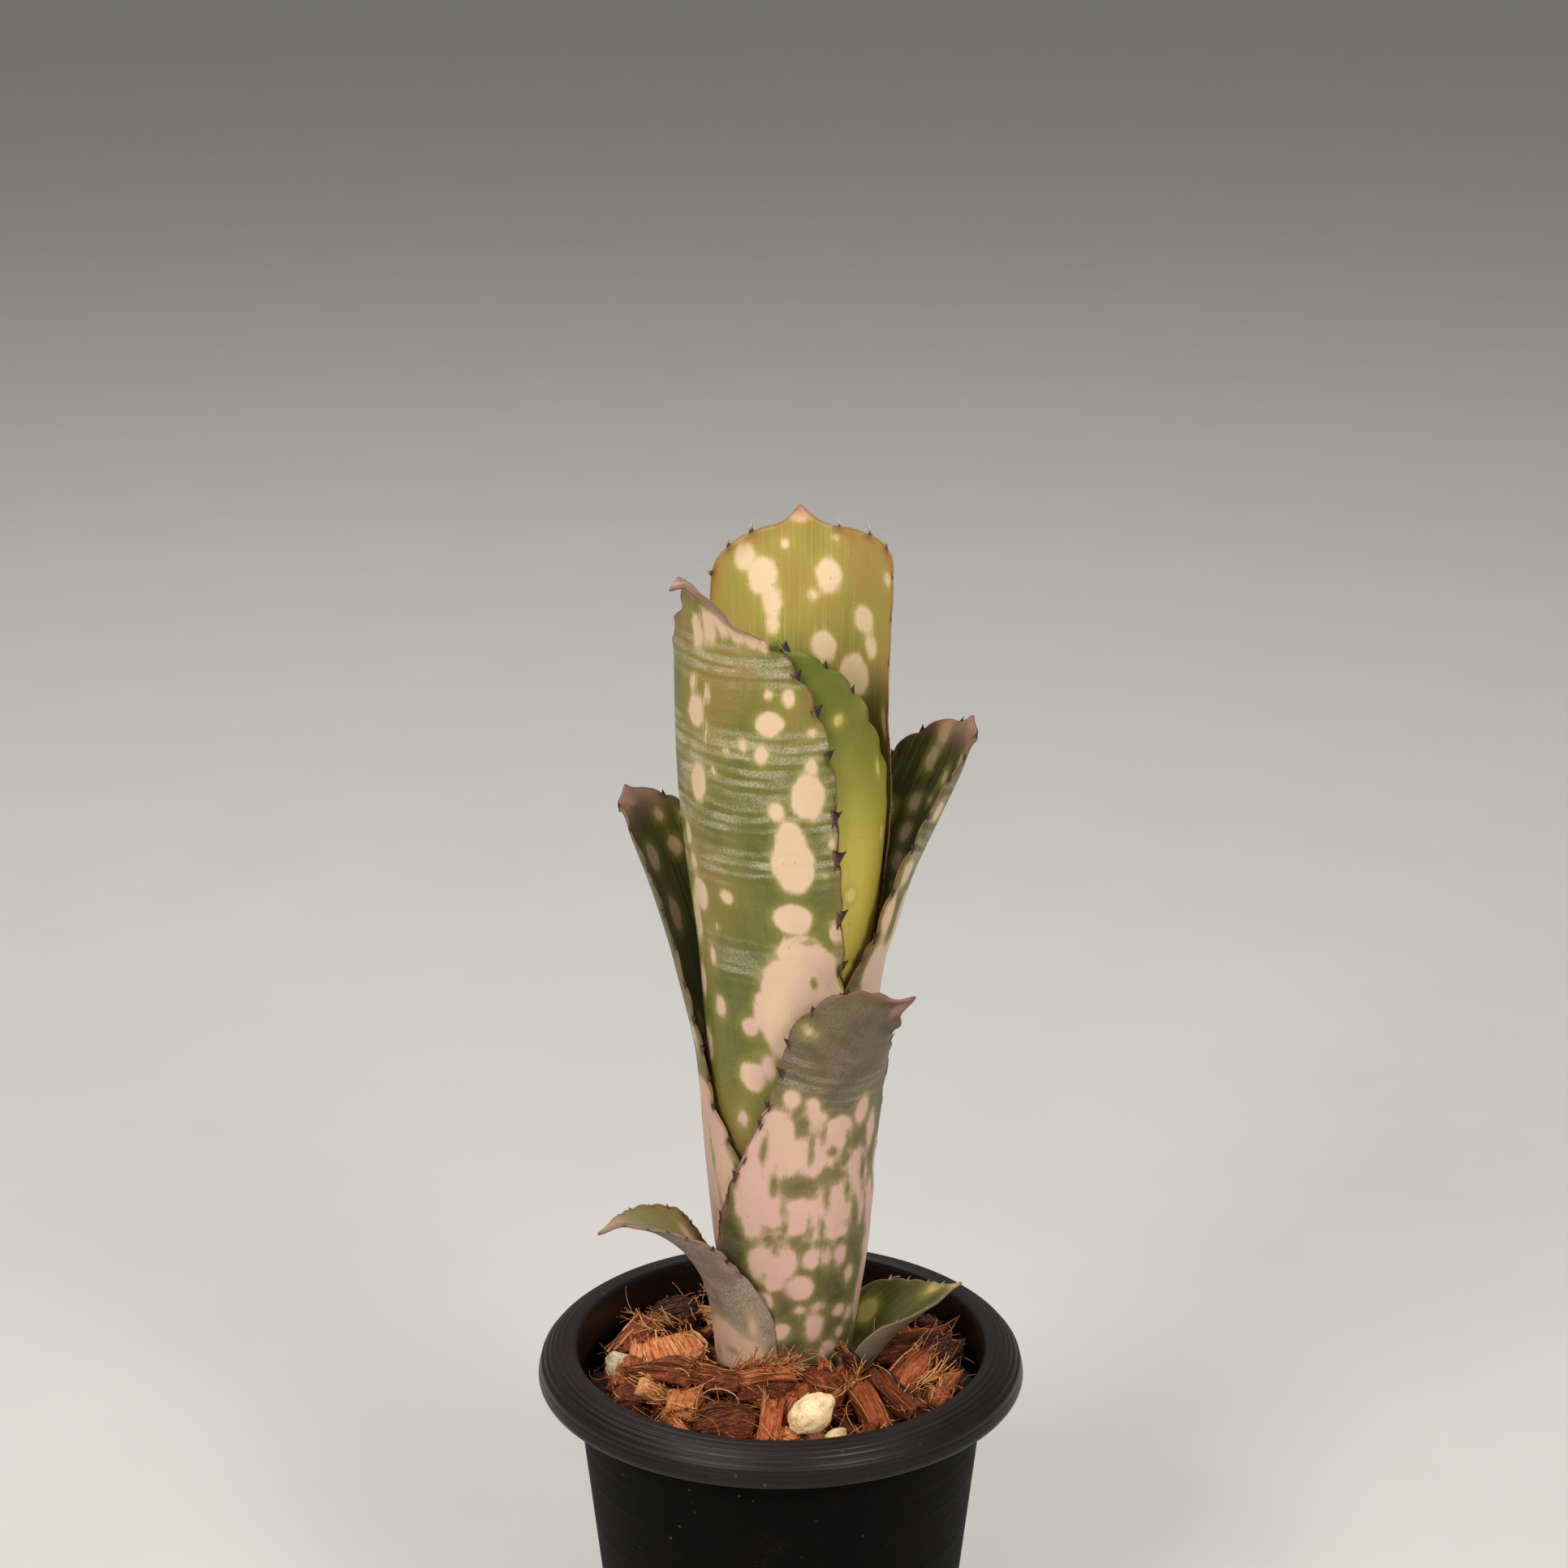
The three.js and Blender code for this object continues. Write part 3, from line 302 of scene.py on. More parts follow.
LOOKS = {
    "leaf_inner_young": {
        # The darker tip colour over its top 30 mm is painted shade, and the yellow far colour below 176 mm
        # along the blade is painted light.
        "deep": srgb(98, 108, 20), "olive": srgb(116, 116, 26), "brown": srgb(142, 130, 42),
        "halo": srgb(160, 148, 54), "cream": srgb(214, 196, 112), "bands": (0.06, 0.04), "silver": 0.08,
        "tip": srgb(78, 92, 12), "tip_reach": 30, "tip_amount": 0.9, "margin": srgb(100, 96, 40),
        "glow": srgb(150, 140, 56), "through": 0.45, "far": srgb(206, 188, 78), "far_from": 176,
        "far_to": 132, "far_amount": 0.85,
    },
    "leaf_back_tall": {
        # Its darker far colour, which sets in from 188 mm along the blade downwards, is painted shadow cast
        # by the young leaf.
        "deep": srgb(142, 144, 62), "olive": srgb(168, 156, 78), "brown": srgb(176, 148, 80), "flank": 0.14,
        "far": srgb(80, 74, 30), "far_from": 188, "far_to": 168, "far_amount": 0.85,
        "halo": srgb(188, 172, 86), "tip": srgb(194, 140, 122), "tip_reach": 3.5, "soft": 0.8,
        "cream": srgb(244, 218, 180), "glow": srgb(176, 114, 62), "glow_reach": 6, "glow_amount": 0.5,
        "silver": 0.28, "bands": (0.9, 0.03), "blush_from": 120, "blush_to": 60,
    },
    "leaf_front_left": {
        "tip": srgb(156, 124, 110), "tip_reach": 9, "inner": (1.0, 0.92, 0.85, 1.0),
    },
    "leaf_right": {
        # Its inner tint darkens the inner face: painted shade.
        "deep": srgb(58, 64, 22), "olive": srgb(84, 80, 32), "brown": srgb(104, 92, 44),
        "tip": srgb(150, 118, 98), "tip_reach": 12, "silver": 0.1, "inner": (0.3, 0.32, 0.18, 1.0),
        "bands": (0.9, 0.02),
    },
    "leaf_left": {
        # Its inner tint darkens the inner face: painted shade, with a little yellowing.
        "deep": srgb(62, 68, 26), "olive": srgb(90, 84, 36), "brown": srgb(108, 92, 46),
        "tip": srgb(160, 124, 108), "tip_reach": 12, "silver": 0.15, "inner": (0.74, 0.74, 0.48, 1.0),
        "bands": (0.8, 0.02), "cream": srgb(204, 172, 146), "blush": srgb(196, 156, 142), "blush_from": 110,
        "blush_to": 60,
    },
    "leaf_front_right": {
        "deep": srgb(56, 58, 28), "olive": srgb(80, 74, 44), "brown": srgb(98, 82, 58),
        "halo": srgb(140, 132, 48), "halo_amount": 0.5, "tip": srgb(150, 112, 104), "tip_reach": 4,
        "bands": (0.9, 0.1), "far": srgb(88, 73, 56), "far_from": 76, "far_to": 92, "far_amount": 0.7,
        "dusting": 0.3, "scurf": srgb(156, 144, 126), "blush_from": 110, "blush_to": 60, "soft": 0.7,
        "glow_top": 78, "cream": srgb(208, 175, 151), "blush": srgb(208, 168, 155),
        "glow": srgb(214, 150, 144), "glow_reach": 3.5, "glow_amount": 0.5, "margin": srgb(120, 76, 64),
    },
    "leaf_low_right": {
        "deep": srgb(52, 58, 22), "olive": srgb(74, 72, 34), "brown": srgb(88, 78, 46),
        "cream": srgb(172, 154, 92), "blush": srgb(172, 154, 92), "tip": srgb(206, 170, 130),
        "tip_reach": 4, "bands": (0.5, 0.02), "scurf": srgb(150, 138, 120), "outer": srgb(122, 110, 90),
        "margin": srgb(104, 92, 62), "dusting": 0.5,
    },
    "leaf_low_left": {
        "deep": srgb(104, 98, 58), "olive": srgb(122, 114, 72), "brown": srgb(140, 122, 98),
        "cream": srgb(212, 178, 152), "blush": srgb(210, 172, 156), "tip": srgb(160, 138, 112),
        "tip_reach": 12, "bands": (0.35, 0.02), "dusting": 0.75, "scurf": srgb(176, 164, 156),
        "blush_from": 60, "blush_to": 20, "soft": 1.4, "outer": srgb(118, 98, 84),
        "margin": srgb(104, 84, 70),
    },
}
# How often each pattern of a leaf's skin repeats in a millimetre: across, along and from face to face.
PATTERNS = {
    "streaks": (2.2, 0.035, 7), "threads": (6, 0.06, 7), "tone": (0.05, 0.024, 3), "ragged": (0.4, 0.28, 0),
    "wander": (0.05, 0.05, 0), "drifts": (0.045, 0.34, 5), "powder": (2.1, 2.1, 5), "patchy": (0.16, 0.22, 5),
    "pink": (0.12, 0.06, 0), "blotches": (0.13, 0.1, 2), "warm": (0.1, 0.05, 0), "freckles": (1, 0.7, 9),
}
STRIPE_PITCH = 2.9
HALO_WIDTH = 1.6
FADE_ALONG = 12  # over what length the margins' warm glow and dark hem set in


# Numbers and shapes.


def smooth(x):
    x = np.clip(x, 0, 1)
    return x * x * (3 - 2 * x)


def unit(vectors):
    return vectors / np.linalg.norm(vectors, axis=-1, keepdims=True)


def hermite(t, start, end, leaving, arriving, span=1):
    """A smooth step from start to end for t from 0 to 1, with the slopes at both ends over the span."""
    return ((2 * t**3 - 3 * t**2 + 1) * start + (t**3 - 2 * t**2 + t) * leaving * span
            + (3 * t**2 - 2 * t**3) * end + (t**3 - t**2) * arriving * span)


def at_stations(stations, x):
    """A smooth value through (place, value) stations."""
    places, values = np.array(stations, float).T
    x = np.clip(x, places[0], places[-1])
    last = len(places) - 1
    low = np.maximum(np.arange(last + 1) - 1, 0)
    high = np.minimum(np.arange(last + 1) + 1, last)
    slopes = (values[high] - values[low]) / (places[high] - places[low])
    i = np.clip(np.searchsorted(places, x, side="right") - 1, 0, last - 1)
    span = places[i + 1] - places[i]
    return hermite((x - places[i]) / span, values[i], values[i + 1], slopes[i], slopes[i + 1], span)


def curve_through(points, steps):
    """A smooth line through points, with so many steps from each point to the next."""
    points = np.asarray(points, float)
    ends = np.vstack([2 * points[0] - points[1], points, 2 * points[-1] - points[-2]])
    t = np.linspace(0, 1, steps, endpoint=False)[:, None]
    spans = [
        hermite(t, start, end, (end - before) / 2, (after - start) / 2)
        for before, start, end, after in zip(ends, ends[1:], ends[2:], ends[3:])
    ]
    return np.vstack([*spans, points[-1:]])


def run_along(path):
    """The length from a line's start to each of its points."""
    return np.r_[0, np.cumsum(np.linalg.norm(np.diff(path, axis=0), axis=1))]


def cell_values(cells, seed):
    """A repeatable value from -1 to 1 for each lattice cell, by mixing the bits of its indices."""
    mixed = cells @ np.array([374761393, 668265263, 1274126177]) + seed * 1442695041
    mixed = (mixed ^ (mixed >> 13)) * 1103515245 & 0x7FFFFFFF
    mixed = (mixed ^ (mixed >> 15)) * 12345677 & 0x7FFFFFFF
    return (mixed % 65536) / 32767.5 - 1


def noise_at(points, seed=0):
    """Smooth noise from -1 to 1, with lumps about one unit across."""
    cells = np.floor(points).astype(np.int64)
    share = smooth(points - cells)
    total = np.zeros(len(points))
    for corner in itertools.product((0, 1), repeat=3):
        weight = np.prod(np.where(corner, share, 1 - share), axis=1)
        total += weight * cell_values(cells + np.array(corner), seed)
    return total


def turned_about(axis, angle, vectors):
    """Vectors turned about a unit axis."""
    axis = np.asarray(axis, float)
    along = (vectors @ axis)[..., None] * axis
    return along + (vectors - along) * math.cos(angle) + np.cross(axis, vectors) * math.sin(angle)


def search_tree(points):
    tree = KDTree(len(points))
    for i, point in enumerate(points):
        tree.insert(point, i)
    tree.balance()
    return tree


def from_plant_axis(points):
    return np.hypot(points[:, 0] - PLANT[0], points[:, 1] - PLANT[1])


def tube_faces(rings, sides):
    """The faces of a tube of rings of points, closed at both ends."""
    faces = []
    for start in range(0, (rings - 1) * sides, sides):
        for side in range(sides):
            a, b = start + side, start + (side + 1) % sides
            faces.append((a, b, b + sides, a + sides))
    return [*faces, tuple(reversed(range(sides))), tuple(range((rings - 1) * sides, rings * sides))]


def grid_faces(cells):
    """A face for each cell of a grid of point numbers."""
    corners = cells[:-1, :-1], cells[:-1, 1:], cells[1:, 1:], cells[1:, :-1]
    return np.stack([corner.ravel() for corner in corners], 1)


def band_faces(first, second):
    """The faces between two closed rings of point numbers."""
    return np.stack([first, second, np.roll(second, -1), np.roll(first, -1)], 1)


def new_piece(name, points, faces, materials, slot, replaces, face_materials=None, **values):
    """A mesh object from points in millimetres, which rides on the part's one body."""
    mesh = bpy.data.meshes.new(name)
    mesh.from_pydata((np.asarray(points) * MM).tolist(), [], [list(map(int, face)) for face in faces])
    for material in materials:
        mesh.materials.append(material)
    if face_materials is not None:
        mesh.polygons.foreach_set("material_index", np.asarray(face_materials, np.int32))
    mesh.polygons.foreach_set("use_smooth", np.full(len(mesh.polygons), True))
    for key, value in values.items():
        value = np.asarray(value, np.float32)
        kind, field = ("FLOAT_VECTOR", "vector") if value.ndim == 2 else ("FLOAT", "value")
        mesh.attributes.new(key, kind, "POINT").data.foreach_set(field, value.ravel())
    piece = bpy.data.objects.new(name, mesh)
    bpy.context.scene.collection.objects.link(piece)
    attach(piece, "root")
    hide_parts(replaces)
    return piece


# Materials.


class Signal:
    """A node's output. Sums, differences and products of it are Math nodes."""

    def __init__(self, nodes, socket):
        self.nodes, self.socket = nodes, socket

    def __add__(self, other):
        return self.nodes.math("ADD", self, other)

    def __sub__(self, other):
        return self.nodes.math("SUBTRACT", self, other)

    def __rsub__(self, other):
        return self.nodes.math("SUBTRACT", other, self)

    def __mul__(self, other):
        return self.nodes.math("MULTIPLY", self, other)


class Nodes:
    """A material under construction. Each method adds a node and returns its output."""

    def __init__(self, name):
        self.material = bpy.data.materials.new(name)
        self.material.use_nodes = True
        self.tree = self.material.node_tree
        self.tree.nodes.clear()

    def add(self, kind, inputs, output=0, **settings):
        node = self.tree.nodes.new("ShaderNode" + kind)
        for key, value in settings.items():
            setattr(node, key, value)
        for key, value in inputs.items():
            if isinstance(value, Signal):
                self.tree.links.new(value.socket, node.inputs[key])
            else:
                node.inputs[key].default_value = value
        return Signal(self, node.outputs[output]) if node.outputs else None

    def value(self, name):
        return self.add("Attribute", {}, "Fac", attribute_name=name)

    def vector(self, name):
        return self.add("Attribute", {}, "Vector", attribute_name=name)

    def place(self):
        """The point's place in the row's frame, in millimetres."""
        coordinates = self.add("TexCoord", {}, "Object")
        return self.stretched(coordinates, (1 / MM, 1 / MM, 1 / MM))

    def split(self, vector):
        """The vector's x, y and z."""
        return [self.add("SeparateXYZ", {0: vector}, axis) for axis in "XYZ"]

    def stretched(self, vector, scale):
        return self.add("VectorMath", {0: vector, 1: scale}, operation="MULTIPLY")

    def math(self, operation, first, second=0.0, clamp=False):
        return self.add("Math", {0: first, 1: second}, operation=operation, use_clamp=clamp)

    def noise(self, vector, scale=1.0, detail=2.0):
        """Noise whose scale is one number, or one for each axis."""
        if isinstance(scale, tuple):
            vector, scale = self.stretched(vector, scale), 1.0
        return self.add("TexNoise", {"Vector": vector, "Scale": scale, "Detail": detail}, "Fac")

    def dots(self, vector, scale):
        """The distance to the nearest of many scattered points."""
        return self.add("TexVoronoi", {"Vector": vector, "Scale": scale}, "Distance")

    def step(self, value, start, end, low=0.0, high=1.0):
        """A soft step from low at start to high at end."""
        inputs = {"Value": value, "From Min": start, "From Max": end, "To Min": low, "To Max": high}
        return self.add("MapRange", inputs, interpolation_type="SMOOTHSTEP")

    def ramp(self, value, *stops):
        output = self.add("ValToRGB", {"Fac": value})
        ramp = output.socket.node.color_ramp
        while len(ramp.elements) < len(stops):
            ramp.elements.new(1.0)
        for element, (position, colour) in zip(ramp.elements, stops):
            element.position = position
            element.color = colour
        return output

    def mix(self, share, first, second, blend="MIX"):
        return self.add("Mix", {0: share, 6: first, 7: second}, 2, data_type="RGBA", blend_type=blend)

    def finish(self, colour, roughness, bump=None, **others):
        """Ends in one Principled shader. A bump is (height, strength, distance in millimetres)."""
        inputs = {key.replace("_", " "): value for key, value in others.items()}
        if bump:
            height, strength, distance = bump
            inputs["Normal"] = self.add(
                "Bump", {"Height": height, "Strength": strength, "Distance": distance * MM}
            )
        shader = self.add("BsdfPrincipled", {"Base Color": colour, "Roughness": roughness, **inputs})
        self.add("OutputMaterial", {"Surface": shader})
        return self.material


class LeafSkin(Nodes):
    """Streaked flesh with scurf bands, cream spots and brown margins, from the values on a leaf's mesh."""

    def __init__(self, name):
        super().__init__(name + "_skin")
        self.look = {**LOOK, **LOOKS[name]}
        self.spines_from = LEAVES[name]["spines_from"]
        self.at = self.vector("place")
        self.across, self.along, self.outer = self.split(self.at)
        self.inner = 1.0 - self.outer
        self.streaks = self.pattern("streaks", 3.0)
        self.threads = self.pattern("threads")

    def pattern(self, name, detail=2.0):
        return self.noise(self.at, PATTERNS[name], detail)

    def shaded(self, colour):
        """The colour as the inner face has it: its own tint, and painted shade where the look darkens it."""
        return self.mix(1.0, colour, self.look["inner"], "MULTIPLY")

    def flesh(self):
        """Green to brown flesh, in streaks and broad clouds."""
        look = self.look
        flank = self.step(self.math("ABSOLUTE", self.across), 4.0, 26.0)
        tone = self.pattern("tone") + (self.streaks - 0.5) * 0.14 + flank * look["flank"]
        colour = self.ramp(tone, (0.36, look["deep"]), (0.5, look["olive"]), (0.62, look["brown"]))
        # The far colour over a stretch of the blade is painted light low on the young leaf and painted shade
        # low on the tall back leaf; on the other leaves it is their own colour.
        far = self.step(self.along, look["far_from"], look["far_to"]) * look["far_amount"]
        colour = self.mix(far, colour, look["far"])
        # The inner face's tint, which is painted shade where it darkens the colour.
        colour = self.mix(self.inner, colour, self.shaded(colour))
        if "outer" in look:
            colour = self.mix(self.outer * 0.85, colour, look["outer"])
        return self.mix(self.step(self.threads, 0.3, 0.75, 0.0, 0.14), colour, look["halo"])

    def spot_depth(self):
        """How deep each place lies in a cream spot, in millimetres, with a ragged edge."""
        ragged = (self.pattern("ragged", 3.0) - 0.5) * 1.7 + (self.streaks - 0.5) * 0.5
        return self.value("spot") + ragged

    def scurf(self, inside):
        """How thick the silver scurf is: powder in wavering stripes, with a thin dusting between."""
        on_outer, on_inner = self.look["bands"]
        phase = self.along * (2 * math.pi / STRIPE_PITCH) + self.pattern("wander") * 7.0
        stripes = self.math("SINE", phase) * 0.28 + self.pattern("drifts", 3.0) * 2.6
        stripes = self.step(stripes, 0.82, 1.6, 0.06, 1.0)
        powder = self.step(self.pattern("powder", 5.0), 0.32, 0.66, 0.2, 0.92)
        patchy = self.step(self.pattern("patchy", 3.0), 0.36, 0.58, 0.35, 1.0)
        amount = self.add("MapRange", {"Value": self.outer, "To Min": on_inner, "To Max": on_outer})
        banded = stripes * self.value("scurf") * patchy * powder * amount
        dusting = powder * patchy * (self.outer * self.look["dusting"])
        scurf = self.math("MAXIMUM", banded, dusting)
        return self.math("MULTIPLY", scurf, self.step(inside, 0.0, 1.0, 1.0, 0.12), clamp=True)

    def cream(self):
        """The spots' cream, which turns pink and blotched down the blade."""
        look = self.look
        pinkness = self.step(self.along, look["blush_from"], look["blush_to"])
        pinkness = pinkness * self.step(self.pattern("pink"), 0.3, 0.62)
        cream = self.mix(pinkness, look["cream"], look["blush"])
        cream = self.mix(self.step(self.threads, 0.4, 0.75, 0.0, 0.14), cream, srgb(212, 172, 136))
        blotch = self.step(self.pattern("blotches"), 0.5, 0.66, 0.0, 0.4)
        cream = self.mix(blotch * pinkness, cream, srgb(200, 152, 152))
        # On the inner face the cream takes half of the inner tint, with its painted shade.
        return self.mix(self.inner, cream, self.mix(0.5, cream, self.shaded(cream)))

    def edged(self, colour):
        """The colour with a pale foot, a tinted tip and lip, warm margins and a dark hem."""
        look, along, rim = self.look, self.along, self.value("rim")
        foot = self.step(along, look["base_from"], look["base_to"])
        colour = self.mix(foot * 0.7, colour, look["base"])
        # The tip's own colour, except on the young leaf, where the darker top is painted shade.
        end = self.step(self.value("tip"), look["tip_reach"], 0.5) * look["tip_amount"]
        colour = self.mix(end, colour, look["tip"])
        armed = self.step(along, self.spines_from - FADE_ALONG, self.spines_from + FADE_ALONG)
        warm = self.step(rim, look["glow_reach"], 0.0) * look["glow_amount"]
        warm = warm * self.step(self.pattern("warm"), 0.35, 0.6)
        warm = warm * self.step(along, look["glow_top"] + FADE_ALONG, look["glow_top"])
        colour = self.mix(warm * armed, colour, look["glow"])
        colour = self.mix(self.value("lip") * 0.85, colour, look["tip"])
        hem = self.step(rim, 0.6, 0.1, 0.0, 0.5) * armed
        hem = self.math("MAXIMUM", hem, self.value("thorn") * 0.85)
        return self.mix(hem, colour, look["margin"])

    def painted(self):
        """The whole skin's colour, and how thick the scurf on it is."""
        look = self.look
        depth = self.spot_depth()
        inside = self.step(depth, -look["soft"], look["soft"])
        scurf = self.scurf(inside)
        halo = self.step(depth, -HALO_WIDTH - look["soft"], 0.0) * look["halo_amount"]
        colour = self.mix(halo, self.flesh(), look["halo"])
        colour = self.mix(scurf, colour, look["scurf"])
        # Pale streaks on the inner face, as much as "silver" gives: painted sheen.
        pale = self.step(self.streaks, 0.5, 0.74) * (self.inner * look["silver"])
        colour = self.mix(pale, colour, srgb(214, 196, 146))
        colour = self.edged(self.mix(inside * (1.0 - scurf), colour, self.cream()))
        dots = self.dots(self.stretched(self.at, PATTERNS["freckles"]), 0.33)
        return self.mix(self.step(dots, 0.12, 0.05) * 0.25, colour, srgb(96, 70, 44)), scurf

    def made(self):
        colour, scurf = self.painted()
        streaks = self.streaks
        relief = streaks * 0.7 + self.threads * 0.3 + scurf * 0.5
        return self.finish(
            colour, scurf * 0.35 + streaks * 0.16 + 0.34, (relief, 0.5, 0.16), Specular_IOR_Level=0.3,
            Subsurface_Weight=self.look["through"], Subsurface_Radius=(1.0, 0.8, 0.3),
            Subsurface_Scale=1.6 * MM,
        )


def spine_material(name, tip):
    """Dark horn, browner at the foot."""
    n = Nodes(name)
    grain = n.noise(n.place(), 3.0, 3.0)
    shade = n.value("height") + (grain - 0.5) * 0.5
    colour = n.ramp(shade, (0.0, srgb(92, 56, 36)), (0.25, srgb(48, 28, 20)), (0.55, tip))
    return n.finish(colour, n.step(grain, 0.2, 0.8, 0.3, 0.5), (grain, 0.3, 0.08))


def pot_material():
    """Satin black polypropylene with turning marks on the rim, a mould's grain, a little dust, and painted
    shade that darkens the body below the rim.
    """
    n = Nodes("pot_black")
    place = n.place()
    x, y, z = n.split(place)
    radius = n.math("SQRT", x * x + y * y)
    marks = n.noise(n.add("CombineXYZ", {0: radius * 2.2, 1: z * 1.2}), detail=3.0)
    fine = n.noise(n.add("CombineXYZ", {0: radius * 9.0, 1: z * 2.0}))
    grain = n.noise(place, 2.4, 3.0)
    dust = n.step(n.dots(place, 0.3), 0.16, 0.06) * n.step(n.noise(place, 0.11), 0.52, 0.66)
    film = n.step(n.noise(place, 0.06, 3.0), 0.45, 0.75) * n.step(grain, 0.4, 0.7)
    rim = n.step(z, POT["height"] - 11, POT["height"] - 8)
    # Below the rim the body is nearly black, darker than the rim: painted shade.
    colour = n.mix(rim, srgb(5, 5, 5), srgb(24, 14, 12))
    colour = n.mix(film * 0.1, colour, srgb(84, 76, 70))
    colour = n.mix(dust * 0.22, colour, srgb(130, 116, 100))
    rough = n.step(marks, 0.3, 0.7, 0.3, 0.42) + film * 0.2 + 0.25 - rim * 0.25
    relief = (marks * 1.2 + fine * 0.4) * rim + grain * 0.25
    shine = n.step(rim, 0.0, 1.0, 0.05, 0.25)
    return n.finish(colour, rough, (relief, 0.7, 0.16), Specular_IOR_Level=shine)


def husk_material():
    """Coconut husk: fibres along each chip's own grain, from dark red-brown to tan."""
    n = Nodes("husk")
    grain = n.vector("grain")
    strands = n.noise(grain, (0.12, 1.5, 1.5), 3.5)
    fine = n.noise(grain, (0.4, 5.0, 5.0))
    crumbs = n.noise(grain, 0.7, 4.0)
    shade = n.value("tone") * 0.98 + strands * 0.6 + (crumbs - 0.5) * 0.4 - 0.29
    colour = n.ramp(
        shade, (0.08, srgb(38, 15, 9)), (0.3, srgb(98, 42, 22)), (0.5, srgb(150, 72, 38)),
        (0.7, srgb(192, 114, 66)), (0.95, srgb(228, 174, 116)),
    )
    # Tan on the raised fine fibres and dark red-brown in the grooves between strands: partly the fibres' own
    # colours, partly painted highlight and painted shade.
    colour = n.mix(n.step(fine, 0.55, 0.75) * 0.35, colour, srgb(226, 176, 112))
    colour = n.mix(n.step(strands, 0.42, 0.28) * 0.5, colour, srgb(60, 26, 14))
    rough = n.step(strands, 0.2, 0.8, 0.95, 0.7)
    return n.finish(colour, rough, (strands + fine * 0.4, 0.9, 0.5), Specular_IOR_Level=0.25)


def crumb_and_shade_material():
    """The fine stuff between and under the chips, in a near-black that is partly painted shade in the gaps.
    """
    n = Nodes("husk_crumb_and_shade")
    place = n.place()
    lumps = n.noise(place, 0.5, 5.0)
    colour = n.ramp(lumps, (0.3, srgb(20, 10, 7)), (0.55, srgb(48, 24, 14)), (0.8, srgb(96, 50, 28)))
    return n.finish(colour, n.step(lumps, 0.3, 0.7, 0.95, 0.8), (lumps + n.dots(place, 1.1), 1.0, 0.8))


def pumice_material(name, light, dark):
    """Porous stone with dark pores and a few husk stains."""
    n = Nodes(name)
    place = n.place()
    cloud = n.noise(place, 0.35, 4.0)
    pores = n.step(n.dots(place, 1.7), 0.26, 0.1)
    small = n.step(n.dots(place, 4.0), 0.2, 0.08)
    stain = n.step(n.noise(place, 0.22), 0.58, 0.72)
    colour = n.ramp(cloud, (0.3, dark), (0.62, light))
    colour = n.mix(stain * 0.35, colour, srgb(170, 112, 62))
    colour = n.mix(n.math("MAXIMUM", pores, small * 0.6) * 0.4, colour, srgb(120, 96, 64))
    relief = cloud - (pores * 0.9 + small * 0.3)
    rough = n.step(cloud, 0.3, 0.7, 0.95, 0.78)
    return n.finish(colour, rough, (relief, 0.8, 0.3), Specular_IOR_Level=0.3)


def stem_material():
    """The pale, fibrous stem inside the leaf bases."""
    n = Nodes("stem_fibre")
    fibres = n.noise(n.place(), (1.6, 1.6, 0.12), 4.0)
    colour = n.ramp(fibres, (0.3, srgb(128, 104, 70)), (0.7, srgb(206, 188, 146)))
    return n.finish(colour, n.step(fibres, 0.2, 0.8, 0.9, 0.65), (fibres, 0.8, 0.4))


def floor_material():
    n = Nodes("floor_pale")
    cloud = n.noise(n.place(), 0.02)
    colour = n.ramp(cloud, (0.3, srgb(206, 204, 200)), (0.7, srgb(208, 206, 202)))
    return n.finish(colour, 0.75, Specular_IOR_Level=0.2)


# The leaves. Heights, radii and midrib points are in the plant's frame.


def layer_radius(leaf, z):
    return at_stations(TUBE["radius"], z) + leaf["layer"] * TUBE["layer"]


def grow_midrib(leaf):
    """The midrib as closely spaced points, their directions and the lengths along it."""
    azimuth = math.radians(leaf["azimuth"])
    out = np.array([math.sin(azimuth), -math.cos(azimuth), 0])
    side = np.array([math.cos(azimuth), math.sin(azimuth), 0])
    bottom = TUBE["foot"] - TUBE["foot_lower"] * leaf["layer"]
    steps = max(1, round((leaf["leave"] - bottom) / TUBE["station_every"]))
    heights = np.linspace(bottom, leaf["leave"], steps + 1)
    in_tube = np.column_stack([layer_radius(leaf, heights), 0 * heights, heights])
    stations = np.vstack([in_tube, leaf["beyond"]])
    path = curve_through(stations @ np.array([out, side, UP]), 120)
    lengths = run_along(path)
    return {
        "out": out, "side": side, "path": path, "lengths": lengths, "length": lengths[-1],
        "along": np.gradient(path, lengths, axis=0),
    }


def along_midrib(rib, key, length):
    return np.stack([np.interp(length, rib["lengths"], rib[key][:, axis]) for axis in range(3)], -1)


def column_length(leaf, rib, s):
    """Where the column at share s of the half-width ends, counted along the midrib."""
    a = np.clip(np.abs(s), 0, 1)
    power = leaf["power"] * (1 - leaf["squarer_left"] * np.sign(s))
    rounding = 1 - (1 - a**power) ** (1 / power)
    tip = np.clip(1 - a / leaf["point_share"], 0, 1) ** 2
    return rib["length"] - leaf["shoulder"] * rounding - leaf["point"] * (1 - tip)


def half_width(leaf, rib, s, length):
    share = length / rib["length"]
    right = at_stations(leaf["half_width"], share)
    left = at_stations(leaf.get("half_width_left", leaf["half_width"]), share)
    return np.where(s < 0, left, right) * (1 + leaf["lopsided"] * np.sign(s))


